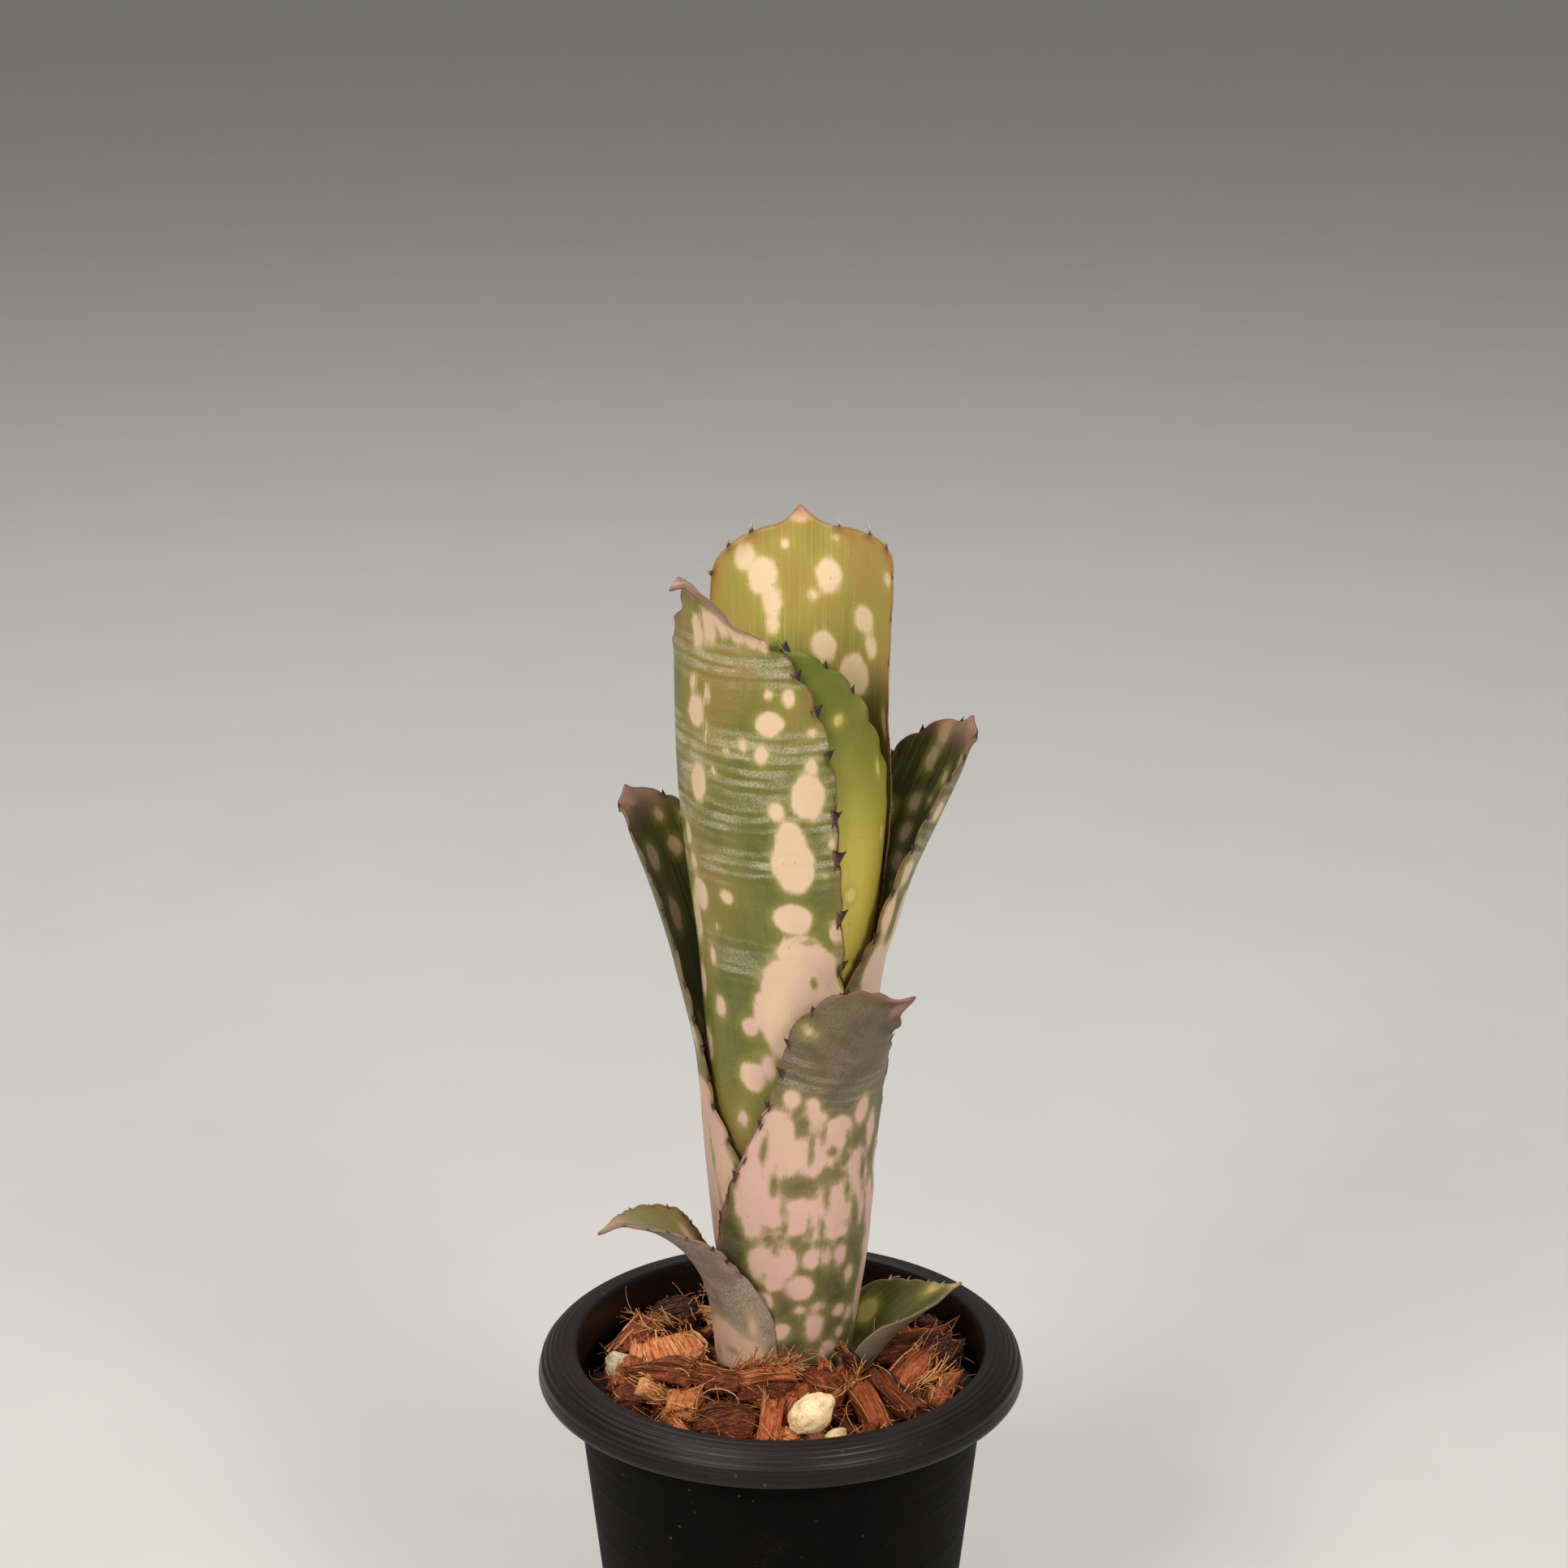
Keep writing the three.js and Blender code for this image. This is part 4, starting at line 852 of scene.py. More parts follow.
def blade_points(leaf, rib, s, length, lift):
    """Points of the blade: s runs from -1 to 1 across it, and lift is how far out from the inner face."""
    place = along_midrib(rib, "path", length)
    along = unit(along_midrib(rib, "along", length))
    across = unit(rib["side"] - along * (along @ rib["side"])[..., None])
    free = place[..., 2] - leaf["leave"]
    settled = smooth(free / BLADE["settle"])[..., None]
    inward = unit(-rib["out"] * (1 - settled) + np.cross(along, across) * settled)
    across = unit(across - inward * np.sum(across * inward, -1, keepdims=True))
    opened = 1 + (leaf["open"] - 1) * smooth(free / (leaf["beyond"][-1][2] - leaf["leave"]))
    curl = layer_radius(leaf, np.minimum(place[..., 2], leaf["leave"])) * opened
    turn = s * np.minimum(half_width(leaf, rib, s, length) / curl, BLADE["widest_wrap"])
    rise = curl - (curl + lift) * np.cos(turn)
    points = place + inward * rise[..., None] + across * ((curl + lift) * np.sin(turn))[..., None]
    x, z = points[..., 0], points[..., 2]
    on_left, on_right = (smooth((way * x - TUBE["side_from"]) / TUBE["side_over"]) for way in (-1, 1))
    shift = at_stations(TUBE["left"], z) * on_left + at_stations(TUBE["right"], z) * on_right
    points[..., 0] += at_stations(TUBE["axis"], z) - shift
    return points


def thickness_at(s):
    return BLADE["middle"] - (BLADE["middle"] - BLADE["edge"]) * np.abs(s) ** 3


def leaf_grid(leaf, rib):
    """Shares across, lengths along and both faces' points, by row and column."""
    even = np.linspace(-1, 1, GRID["columns"] + 1)
    s = even + (np.sin(even * math.pi / 2) - even) * GRID["crowding"]
    rows = max(24, round(rib["length"] * GRID["rows_per_mm"]))
    length = column_length(leaf, rib, s)[None] * np.linspace(0, 1, rows + 1)[:, None]
    s = np.broadcast_to(s, length.shape)
    return s, length, *(blade_points(leaf, rib, s, length, lift) for lift in (0 * s, thickness_at(s)))


def edge_loop(shape):
    """The grid's free edge as (row, column): up the left margin, over the top and down the right."""
    rows, columns = shape
    left = [(j, 0) for j in range(rows)]
    top = [(rows - 1, i) for i in range(1, columns - 1)]
    right = [(j, columns - 1) for j in reversed(range(rows))]
    return np.array(left + top + right).T


def free_edge(s, length, middle, outwards):
    """The free edge point by point: its places, directions and measures."""
    row, column = edge_loop(s.shape)
    at, normal = middle[row, column], outwards[row, column]
    along = unit(np.gradient(at, axis=0))
    away = unit(np.cross(along, normal))
    centre = middle[np.minimum(row, s.shape[0] - 6), s.shape[1] // 2]
    away *= np.sign(np.sum(away * (at - centre), axis=1))[:, None]
    return {
        "row": row, "column": column, "at": at, "run": run_along(at), "share": s[row, column],
        "length": length[row, column], "along": along, "away": away, "normal": normal,
    }


def rim_distance(middle, edge):
    """How far each place of the grid lies from the free edge, and which point of it is nearest."""
    tree = search_tree(edge["at"])
    found = [tree.find(point) for point in middle.reshape(-1, 3)]
    return (np.array([hit[key] for hit in found]).reshape(middle.shape[:2]) for key in (2, 1))


def spine_places(leaf, edge, rng):
    """Where spines stand along the free edge, and which way their tips point along it."""
    places = []
    run, share, length = edge["run"], edge["share"], edge["length"]
    allowed = (length >= leaf["spines_from"]) & (np.abs(share) > leaf["point_share"])
    lowest = run[allowed][[0, -1]]
    middle = run[np.argmin(np.abs(share))]
    for first, sign, side in zip(lowest, (1, -1), ("spines_left", "spines_right")):
        last = middle
        if leaf[side]:
            on_side = np.sign(share) == -sign
            shown = [run[np.argmin(np.where(on_side, np.abs(length - stop), np.inf))] for stop in leaf[side]]
            places += [(at, sign) for at in shown]
            last = shown[-1] - sign * leaf["spine_gap"] * SPINE_GAPS["below_shown"]
        at = first + sign * leaf["spine_gap"] * rng.uniform(*SPINE_GAPS["first"])
        while (last - at) * sign > 0:
            if allowed[min(np.searchsorted(run, at), len(run) - 1)] and 0 < at < run[-1]:
                places.append((at, sign))
            at += sign * leaf["spine_gap"] * rng.uniform(*SPINE_GAPS["next"])
    return places


def spine_shape(kind, at, along, away, normal, scale):
    """A hooked spine: rings of points that narrow from a flat foot to the tip, and their heights."""
    rings, sides = kind["rings"], kind["sides"]
    points, heights = [], []
    for ring in range(rings):
        rise = ring / (rings - 1)
        taper = (1 - rise) ** SPINE_TAPER["power"] + SPINE_TAPER["tip"]
        middle = at + away * (kind["length"] * scale * rise - kind["root"])
        middle = middle + along * kind["hook"] * scale * rise ** SPINE_TAPER["hook_power"]
        for side in range(sides):
            angle = 2 * math.pi * side / sides
            reach = along * math.cos(angle) * kind["base"] * scale / 2
            points.append(middle + (reach + normal * math.sin(angle) * kind["thickness"] / 2) * taper)
            heights.append(rise)
    return points, heights, tube_faces(rings, sides)


def spot_field(places, spots):
    """How deep inside the nearest spot each place is, in millimetres. Close spots run together."""
    total = np.full(len(places), 1e-30)
    for across, along, half_wide, half_high in spots:
        away = np.hypot((places[:, 0] - across) / half_wide, (places[:, 1] - along) / half_high)
        depth = (1 - away) * min(half_wide, half_high)
        total += np.exp(np.clip(depth / SPOT_NECK, -60, 60))
    return np.clip(SPOT_NECK * np.log(total), -DEEPEST, DEEPEST)


def scurf_density(name, flat):
    """How thickly silver scurf covers each place, from 0 to 1."""
    across, along = flat.T
    seed = LEAVES[name]["seed"]

    def clouds(per_mm_across, per_mm_along, cloud_seed):
        places = np.column_stack([across * per_mm_across, along * per_mm_along, 0 * along])
        return noise_at(places, cloud_seed)

    if name in SCURF:
        drift = clouds(0.06, 0.03, seed) * 2.5
        density = np.full(len(flat), 0.12)
        for middle, half, strength in SCURF[name]:
            density = np.maximum(density, strength * smooth(1.5 - np.abs(along + drift - middle) / half))
    else:
        density = smooth(clouds(0.02, 0.055, 31) + 0.6)
    return density * (0.75 + 0.4 * clouds(0.16, 0.12, seed + 7))


def all_spots(leaf, rng):
    """The leaf's own spots, with random ones on the stretches that are hidden from the front."""
    spots = list(leaf["spots"])
    widest = max(width for _, width in leaf["half_width"])
    for count, start, end, largest in leaf["wild"]:
        for _ in range(count):
            across, along = rng.uniform(-widest, widest), rng.uniform(start, end)
            size = largest * rng.uniform(0.3, 1.0) ** 1.4
            near = min(math.hypot(across - x, (along - y) / 1.4) - max(w, h) for x, y, w, h in leaf["spots"])
            if near > size + 0.8:
                spots.append((across, along, size, size * rng.uniform(1.0, 1.9)))
    return spots


def edge_roll(rolled, s, rim, top):
    """How far a rolled stretch of the top edge stands out at each place."""
    if not rolled:
        return 0 * s
    first, last = rolled["shares"]
    within = smooth((s - first) / 0.2) * smooth((last - s) / 0.25) * smooth(top / 0.2)
    return rolled["height"] * np.clip(1 - rim / rolled["reach"], 0, 1) ** 1.8 * within


def lip_strip(rolled, s, rim, top):
    """How far each place belongs to the coloured strip along a rolled edge, from 0 to 1."""
    if not rolled:
        return 0 * s
    wide, widest, gone = rolled["lip"]
    kept = np.clip((s - gone) / (widest - gone), 0, 1)
    within = smooth((0.2 + (s - widest) * np.sign(gone - widest)) / 0.1)
    return smooth((wide * kept - rim) / 0.9 + 0.5) * smooth(kept / 0.1) * smooth((top - 0.1) / 0.1) * within


def margin_shift(leaf, edge, nearness, rim, nearest, outwards, z):
    """The margin is drawn in at each spine, bulges and ripples between them and clasps the leaf beneath."""
    spiny = np.array(edge["length"] >= leaf["spines_from"] - 4, float)
    size = leaf["spine_size"] * leaf["notched"]
    draw = (NOTCH["bulge"] - (NOTCH["depth"] + NOTCH["bulge"]) * nearness) * spiny * size
    fade = np.clip(1 - rim / NOTCH["fade"], 0, 1) ** 2
    wave = RIPPLE["height"] * np.sin(edge["run"][nearest] * RIPPLE["per_mm"] + leaf["seed"])
    ripple = wave * spiny[nearest] * fade * size
    pressed = leaf["clasp"] * np.clip(1 - rim / CLASP["width"], 0, 1) ** 2
    pressed = pressed * smooth((leaf["leave"] + CLASP["above"] - z) / CLASP["fade"])
    drawn = edge["away"][nearest] * (draw[nearest] * fade)[..., None]
    return drawn + outwards * (ripple - pressed)[..., None]


def closed_blade(inner, outer, edge):
    """The blade's points and faces, with a bead round its edge, and the inner face's ring of edge points."""
    rows, columns = inner.shape[:2]
    front = np.arange(rows * columns).reshape(rows, columns)
    back = front + rows * columns
    foot = np.arange(columns - 2, 0, -1)
    row, column = np.r_[edge["row"], 0 * foot], np.r_[edge["column"], foot]
    away = np.vstack([edge["away"], np.tile(-UP, (len(foot), 1))])
    bead = (inner[row, column] + outer[row, column]) / 2 + away * BLADE["bead"]
    ring, back_ring = front[row, column], back[row, column]
    bead_ring = 2 * rows * columns + np.arange(len(bead))
    faces = np.vstack([
        grid_faces(front)[:, [0, 3, 2, 1]], grid_faces(back),
        band_faces(ring, bead_ring), band_faces(bead_ring, back_ring),
    ])
    return np.vstack([inner.reshape(-1, 3), outer.reshape(-1, 3), bead]), faces.tolist(), ring


def blade_values(name, leaf, rib, flat, ring, rim, near, lip, rng):
    """The values that the skin's colours are worked out from, for both faces and the bead between them."""

    def everywhere(values):
        return np.concatenate([values, values, values[ring]])

    side = np.r_[np.zeros(len(flat)), np.ones(len(flat)), np.full(len(ring), 0.5)]
    flat = everywhere(flat)
    spots = spot_field(flat, all_spots(leaf, rng))
    if leaf["patches"]:
        spots = np.minimum(spots, -spot_field(flat, leaf["patches"]))
    return {
        "place": np.column_stack([flat, side]), "spot": spots, "rim": np.r_[rim, rim, np.zeros(len(ring))],
        "thorn": everywhere(near), "height": np.zeros(len(flat)), "scurf": scurf_density(name, flat),
        "lip": everywhere(lip), "tip": rib["length"] - flat[:, 1],
    }


def add_spines(leaf, bare, edge, feet, spines, ring, points, values, rng):
    """The points and values with the spines' own added, and the spines' faces."""
    kind = HAIR if leaf["hairy"] else SPINE
    faces = []
    for at, sign in spines:
        k = int(np.argmin(np.abs(edge["run"] - at)))
        if bare[0] < edge["share"][k] < bare[1]:
            continue
        scale = rng.uniform(0.8, 1.1) * leaf["spine_size"]
        along, away, normal = edge["along"][k] * sign, edge["away"][k], edge["normal"][k]
        added, heights, shapes = spine_shape(kind, feet[k], along, away, normal, scale)
        faces += [[len(points) + i for i in face] for face in shapes]
        points = np.vstack([points, added])
        for key, value in values.items():
            new = heights if key == "height" else np.repeat(value[ring[k]][None], len(added), 0)
            values[key] = np.concatenate([value, new])
    return points, values, faces


def make_leaf(name, horns):
    leaf, rolled = {**LEAF, **LEAVES[name]}, ROLLED.get(name)
    rng = np.random.default_rng(leaf["seed"])
    rib = grow_midrib(leaf)
    s, length, inner, outer = leaf_grid(leaf, rib)
    middle, outwards = (inner + outer) / 2, unit(outer - inner)
    edge = free_edge(s, length, middle, outwards)
    rim, nearest = rim_distance(middle, edge)
    spines = spine_places(leaf, edge, rng)
    nearness = np.zeros(len(edge["run"]))
    for at, _ in spines:
        nearness = np.maximum(nearness, np.exp(-(((edge["run"] - at) / NOTCH["reach"]) ** 2)))
    shift = margin_shift(leaf, edge, nearness, rim, nearest, outwards, middle[..., 2])
    top = length / rib["length"] - TOP_FROM
    roll = outwards * edge_roll(rolled, s, rim, top)[..., None]
    points, faces, ring = closed_blade(inner + shift + roll, outer + shift + roll, edge)

    flat = np.stack([s * half_width(leaf, rib, s, length), length], -1).reshape(-1, 2)
    near = nearness[nearest] * np.clip(1 - rim / THORN_REACH, 0, 1)
    lip = lip_strip(rolled, s, rim, top)
    values = blade_values(name, leaf, rib, flat, ring, rim.ravel(), near.ravel(), lip.ravel(), rng)
    bare = rolled["bare"] if rolled else (0, 0)
    feet = (points[ring] + points[ring + s.size]) / 2
    points, values, horn_faces = add_spines(leaf, bare, edge, feet, spines, ring, points, values, rng)
    return new_piece(
        name + "_blade", points + PLANT, faces + horn_faces, [LeafSkin(name).made(), horns[leaf["hairy"]]],
        leaf["slot"], name, [0] * len(faces) + [1] * len(horn_faces), **values,
    )


# The pot.


def pot_section():
    """The pot's section as (radius, height) from the middle of its floor, round the rim and back."""
    foot, low, high = POT["foot"], POT["floor_low"], POT["floor_high"]
    ring_inside = foot - POT["foot_ring"]
    wall = [(foot + POT["taper"] * z, z) for z in np.linspace(1, POT["height"] - POT["neck"], 40)]
    rim = curve_through([(POT["mouth"] + out, POT["height"] - down) for out, down in RIM_SECTION], 15)
    run = unit(np.gradient(rim, axis=0))
    outwards = np.stack([run[:, 1], -run[:, 0]], 1)
    upper = rim[:, 1] > BEADS_ABOVE
    for out, height in RIM_BEADS:
        bead = np.exp(-(((rim[:, 0] - POT["mouth"] - out) / BEAD_WIDTH) ** 2)) * upper
        rim = rim + outwards * (bead * height)[:, None]
    inside = [(r - POT["wall"], z) for r, z in reversed(wall) if z > high + 2]
    corner = foot + POT["taper"] * high - POT["wall"]
    return [
        (0, low), (ring_inside - 0.4, low), (ring_inside, low - 0.4), (ring_inside, 0.3),
        (ring_inside + 0.3, 0), (foot - 0.5, 0), (foot - 0.1, 0.3), *wall, *rim.tolist(), *inside,
        (corner + 0.1, high + 1), (corner - 1, high), (0, high),
    ]


def turned_surface(section, sides):
    """Points and faces of a closed surface of revolution whose section starts and ends on the axis."""
    angles = np.linspace(0, 2 * math.pi, sides, endpoint=False)
    rings = [[(r * math.cos(t), r * math.sin(t), z) for t in angles] for r, z in section[1:-1]]
    points = [(0, 0, section[0][1]), *itertools.chain(*rings), (0, 0, section[-1][1])]
    last = 1 + (len(rings) - 1) * sides
    faces = []
    for i in range(sides):
        j = (i + 1) % sides
        faces.append((0, 1 + j, 1 + i))
        for start in range(1, last, sides):
            faces.append((start + i, start + j, start + sides + j, start + sides + i))
        faces.append((last + i, last + j, len(points) - 1))
    return np.array(points), faces


def make_pot():
    points, faces = turned_surface(pot_section(), POT["sides"])
    pot = new_piece("pot_shell", points, faces, [pot_material()], "pot_plastic", "pot")
    for i in range(DRAIN["count"]):
        angle = 2 * math.pi * (i + 0.5) / DRAIN["count"]
        middle = (DRAIN["circle"] * math.cos(angle) * MM, DRAIN["circle"] * math.sin(angle) * MM, 0)
        bpy.ops.mesh.primitive_cylinder_add(
            vertices=32, radius=DRAIN["radius"] * MM, depth=2 * DRAIN["depth"] * MM, location=middle
        )
        drill = bpy.context.object
        cut = pot.modifiers.new(f"drain_{i}", "BOOLEAN")
        cut.object = drill
        cut.solver = "EXACT"
        bpy.context.view_layer.objects.active = pot
        bpy.ops.object.modifier_apply(modifier=cut.name)
        bpy.data.objects.remove(drill)


# The bed of husk chips.

CHIP_CELLS = (10, 5, 3)
CHIPS = {
    "count": 190, "inner": 20.5, "outer": 46, "length": (5, 16), "width": (3, 9), "height": (1.4, 4.5),
    "at_tube": 27, "at_wall": 38,  # the chips nearer to the tube or to the wall lie along it
}
STRAND = {"spacing": 0.62, "radius": (0.12, 0.34), "past_end": 0.22, "short_of_end": 0.36, "fray": 3.4}
LOOSE_FIBRES = {"count": 300, "outer": 46}
# How far chips keep from the tube's axis, the pot's mouth and the leaves. Strands and fibres may come closer,
# and stay between two heights.
CHIP_ROOM = {"from_axis": 16.2, "from_mouth": 1.2, "from_leaves": 0.5}
STRAND_ROOM = {"from_mouth": 1, "from_leaves": 0.35, "low": 92, "high": 118}
LEAVES_BELOW = 122  # the leaves above this height are out of the way
# Fans of torn fibres: from and to along the foot, the way they point, how many and their longest length.
TUFTS = [
    ((-12, -18.6, 109), (2, -18.4, 109.8), (0.75, -0.12, 0.6), 120, 8),
    ((-34, -9.5, 105), (-17, -12.5, 104.5), (0.45, -0.8, -0.05), 80, 6),
    ((14, -24, 104), (20, -14, 105.5), (0.3, -0.3, 0.8), 40, 8),
    ((40, -12, 105), (30, -20, 105), (0.6, 0.5, 0.4), 40, 8),
    ((-28, -24, 104), (-20, -30, 104), (-0.7, -0.2, 0.3), 30, 7),
    ((-20, 14, 106), (-34, 8, 106), (-0.7, 0.2, 0.4), 22, 8),
]
# Chips that the front view shows: middle, (length, width, height), turn, pitch and roll in degrees, tone from
# dark to tan, and how many loose fibres hang from the ends.
SHOWN_CHIPS = [
    ((-27, 19, 103.8), (13, 11, 6), 25, 8, 0, 0.1, 26),
    ((-27.5, -3, 105), (11, 19, 3.0), -66, -14, 6, 0.78, 50),
    ((-29, -10.5, 104.5), (17, 11, 4), -8, 6, -14, 0.42, 18),
    ((-38, -11, 102.5), (11, 6, 5), 75, 10, 20, 0.5, 8),
    ((-14.5, -13.5, 104.5), (15, 6, 3), -28, -8, -20, 0.85, 22),
    ((-4, -19.2, 108.4), (14, 6, 3), 4, 6, -14, 0.68, 60),
    ((-4, -22, 105), (13, 7, 4), -12, 2, -8, 0.3, 10),
    ((-15, -18.5, 106.6), (12, 7, 4), -24, 2, -8, 0.36, 20),
    ((9, -20, 107), (9, 6, 4), -50, 6, 8, 0.42, 12),
    ((10.5, -18, 106), (9, 3.2, 2), 80, 66, 0, 0.55, 10),
    ((-24, -25.5, 102), (9, 7, 6), 75, 6, 8, 0.72, 14),
    ((-13, -31.5, 101.6), (14, 9, 7), 5, 4, -6, 0.3, 6),
    ((-2.5, -33.5, 102.8), (13, 5, 3.6), 84, 24, 10, 0.6, 8),
    ((3, -22, 104), (16, 7, 4), 38, 8, -16, 0.55, 18),
    ((13, -20, 104.6), (15, 6, 4), 60, 6, 14, 0.45, 16),
    ((19.5, -12.5, 106), (15, 4, 3), 22, -52, 10, 0.16, 16),
    ((21, -27, 103.6), (16, 5.5, 4), 110, 12, 0, 0.5, 12),
    ((28, -22, 104.2), (14, 6, 4.5), 130, 16, 12, 0.35, 12),
    ((31, -13, 105), (19, 7, 4), 58, 14, -10, 0.55, 20),
    ((38, -17, 103.6), (17, 8, 5), 32, 14, -16, 0.68, 30),
    ((33, 4, 104.6), (16, 9, 5), 8, 8, -8, 0.3, 16),
    ((40, 1, 104), (9, 8, 5), 60, -4, 8, 0.1, 4),
    ((44, 14, 106), (9, 4, 3), 80, 42, 0, 0.35, 12),
    ((-36, 10, 103.6), (17, 6, 4), 64, 4, 14, 0.4, 14),
    ((-18, 12, 103.6), (14, 8, 4), 100, 6, 0, 0.2, 10),
    ((-37, -19, 101), (8, 6, 5), 20, 0, 10, 0.3, 8),
]


def bed_height(r):
    wall = POT["foot"] + POT["taper"] * BED["at_wall"] - POT["wall"]
    return BED["at_plant"] + (BED["at_wall"] - BED["at_plant"]) * smooth(np.asarray(r) / wall)


def block_surface(cells):
    """The corners of a unit block's surface grid, from -0.5 to 0.5, and its faces."""
    index, corners, faces = {}, [], []

    def corner(cell):
        if cell not in index:
            index[cell] = len(corners)
            corners.append([c / n - 0.5 for c, n in zip(cell, cells)])
        return index[cell]

    for axis in range(3):
        u, v = [k for k in range(3) if k != axis]
        for end in (0, cells[axis]):
            for i, j in itertools.product(range(cells[u]), range(cells[v])):
                quad = []
                for du, dv in ((0, 0), (1, 0), (1, 1), (0, 1)):
                    cell = [0, 0, 0]
                    cell[axis], cell[u], cell[v] = end, i + du, j + dv
                    quad.append(corner(tuple(cell)))
                flip = (end == 0) != (axis == 1)
                faces.append(quad[::-1] if flip else quad)
    return np.array(corners), np.array(faces)


def turn_matrix(turn, pitch, roll):
    """Rows are the chip's own length, width and height directions."""
    turn, pitch, roll = (math.radians(angle) for angle in (turn, pitch, roll))
    axes = turned_about((1, 0, 0), roll, np.eye(3))
    axes = turned_about((0, 1, 0), -pitch, axes)
    return turned_about((0, 0, 1), turn, axes)


def chip_warp(size, rng):
    """A chip's own lean, bow and twist, as a function of points in the chip's frame."""
    lean, bow, twist = rng.uniform(-0.35, 0.35), rng.uniform(-0.3, 0.3), rng.uniform(-0.6, 0.6)

    def warp(points):
        x, y, z = np.moveaxis(points, -1, 0)
        x = x + lean * y
        z = z + bow * (x * x / size[0] - size[0] / 12)
        angle = twist * x / size[0]
        return np.stack([x, y * np.cos(angle) - z * np.sin(angle), y * np.sin(angle) + z * np.cos(angle)], -1)

    return warp


def slimmed(u, narrowing):
    """How much of its width a chip keeps at a place along it, from -0.5 to 0.5."""
    return 1 - narrowing * smooth((np.abs(u) - 0.25) / 0.25)


def chip_block(unit_corners, size, narrowing, rng):
    """A torn block of husk: grooved along its grain and ragged at the ends."""
    long, wide, high = size
    u, v, w = unit_corners.T
    seed = int(rng.integers(1, 10**6))
    grooves = noise_at(np.column_stack([u * long * 0.09, v * wide * 0.9, w * high * 0.9]), seed)
    lumps = noise_at(np.column_stack([u * long * 0.22, v * wide * 0.25, w * high * 0.25]), seed + 1)
    ends = noise_at(np.column_stack([np.sign(u) * 3, v * wide * 1.1, w * high * 1.1]), seed + 2)
    x = u * long + np.sign(u) * smooth((np.abs(u) - 0.3) / 0.2) * ends * 0.14 * long
    thick = (1 + 0.18 * grooves + 0.24 * lumps) * slimmed(u, narrowing)
    return np.column_stack([x, v * wide * thick, w * high * (thick + 0.15 * grooves)])


def chip_strands(size, narrowing, axes, rng):
    """Lines along a chip's grain, over the sides that face up. They run past its ends and fray there."""
    long, wide, high = size
    count = round(2 * (wide + high) / STRAND["spacing"])
    lines = []
    for i in range(count):
        angle = 2 * math.pi * (i + rng.uniform(0, 1)) / count
        out = np.array([0, math.cos(angle), math.sin(angle)])
        if (out @ axes)[2] < -0.3:
            continue
        reach = rng.uniform(-STRAND["short_of_end"], STRAND["past_end"], 2)
        u = np.linspace(-0.5 - reach[0], 0.5 + reach[1], 7)
        kept = slimmed(u, narrowing) * rng.uniform(0.86, 1.04)
        past = np.clip(np.abs(u) - 0.4, 0, 1) * STRAND["fray"] * rng.uniform(-0.5, 1.8)
        on_side = np.clip(1.8 * out[1:], -1, 1)
        line = np.column_stack([u * long, on_side[0] * wide / 2 * kept, on_side[1] * high / 2 * kept])
        wobble = np.cumsum(rng.normal(0, 0.09, (7, 3)), axis=0)
        lines.append(line + out * past[:, None] + wobble)
    return lines


def fibre_path(start, heading, length, curl, rng, steps=7):
    """A loose fibre's line, which bends one way and then a little another."""
    points = [start]
    bend_axis = unit(rng.normal(size=3))
    step = length / steps
    for i in range(steps):
        heading = unit(turned_about(bend_axis, curl * (1 - 0.6 * i / steps), heading))
        heading = unit(heading + rng.normal(size=3) * 0.07)
        points.append(points[-1] + heading * step)
    return np.array(points)


def fibre_tube(path, radius):
    """Points and faces of a thin three-sided tube that tapers towards both ends."""
    run = unit(np.gradient(path, axis=0))
    side = unit(np.cross(run, [0.31, 0.17, 0.93]))
    other = np.cross(run, side)
    share = np.linspace(0, 1, len(path))
    thick = radius * (0.45 + 0.55 * np.sin(math.pi * (0.15 + 0.75 * share)))
    points = []
    for angle in (0, 2 * math.pi / 3, 4 * math.pi / 3):
        points.append(path + (side * math.cos(angle) + other * math.sin(angle)) * thick[:, None])
    return np.stack(points, 1).reshape(-1, 3), tube_faces(len(path), 3)


class Heap:
    """Gathers the points, faces and values of many small shapes into one mesh."""

    def __init__(self):
        self.points, self.faces, self.grain, self.tone = [], [], [], []
        self.count = 0

    def add(self, points, faces, grain, tone):
        self.faces += [[self.count + i for i in face] for face in faces]
        self.count += len(points)
        self.points.append(points)
        self.grain.append(grain)
        self.tone.append(np.full(len(points), tone))

    def piece(self, name, material):
        return new_piece(
            name, np.vstack(self.points), self.faces, [material], "husk_chips", "husk_bed",
            grain=np.vstack(self.grain), tone=np.concatenate(self.tone),
        )


def leaf_clearance(leaves):
    """A search tree of the leaves' points near the bed."""
    near = []
    for leaf in leaves:
        co = np.empty(len(leaf.data.vertices) * 3, np.float32)
        leaf.data.vertices.foreach_get("co", co)
        co = co.reshape(-1, 3) / MM
        near.append(co[(co[:, 2] < LEAVES_BELOW)][::2])
    return search_tree(np.vstack(near))


def within_mouth(points, gap):
    return np.hypot(points[:, 0], points[:, 1]).max() <= POT["mouth"] - gap


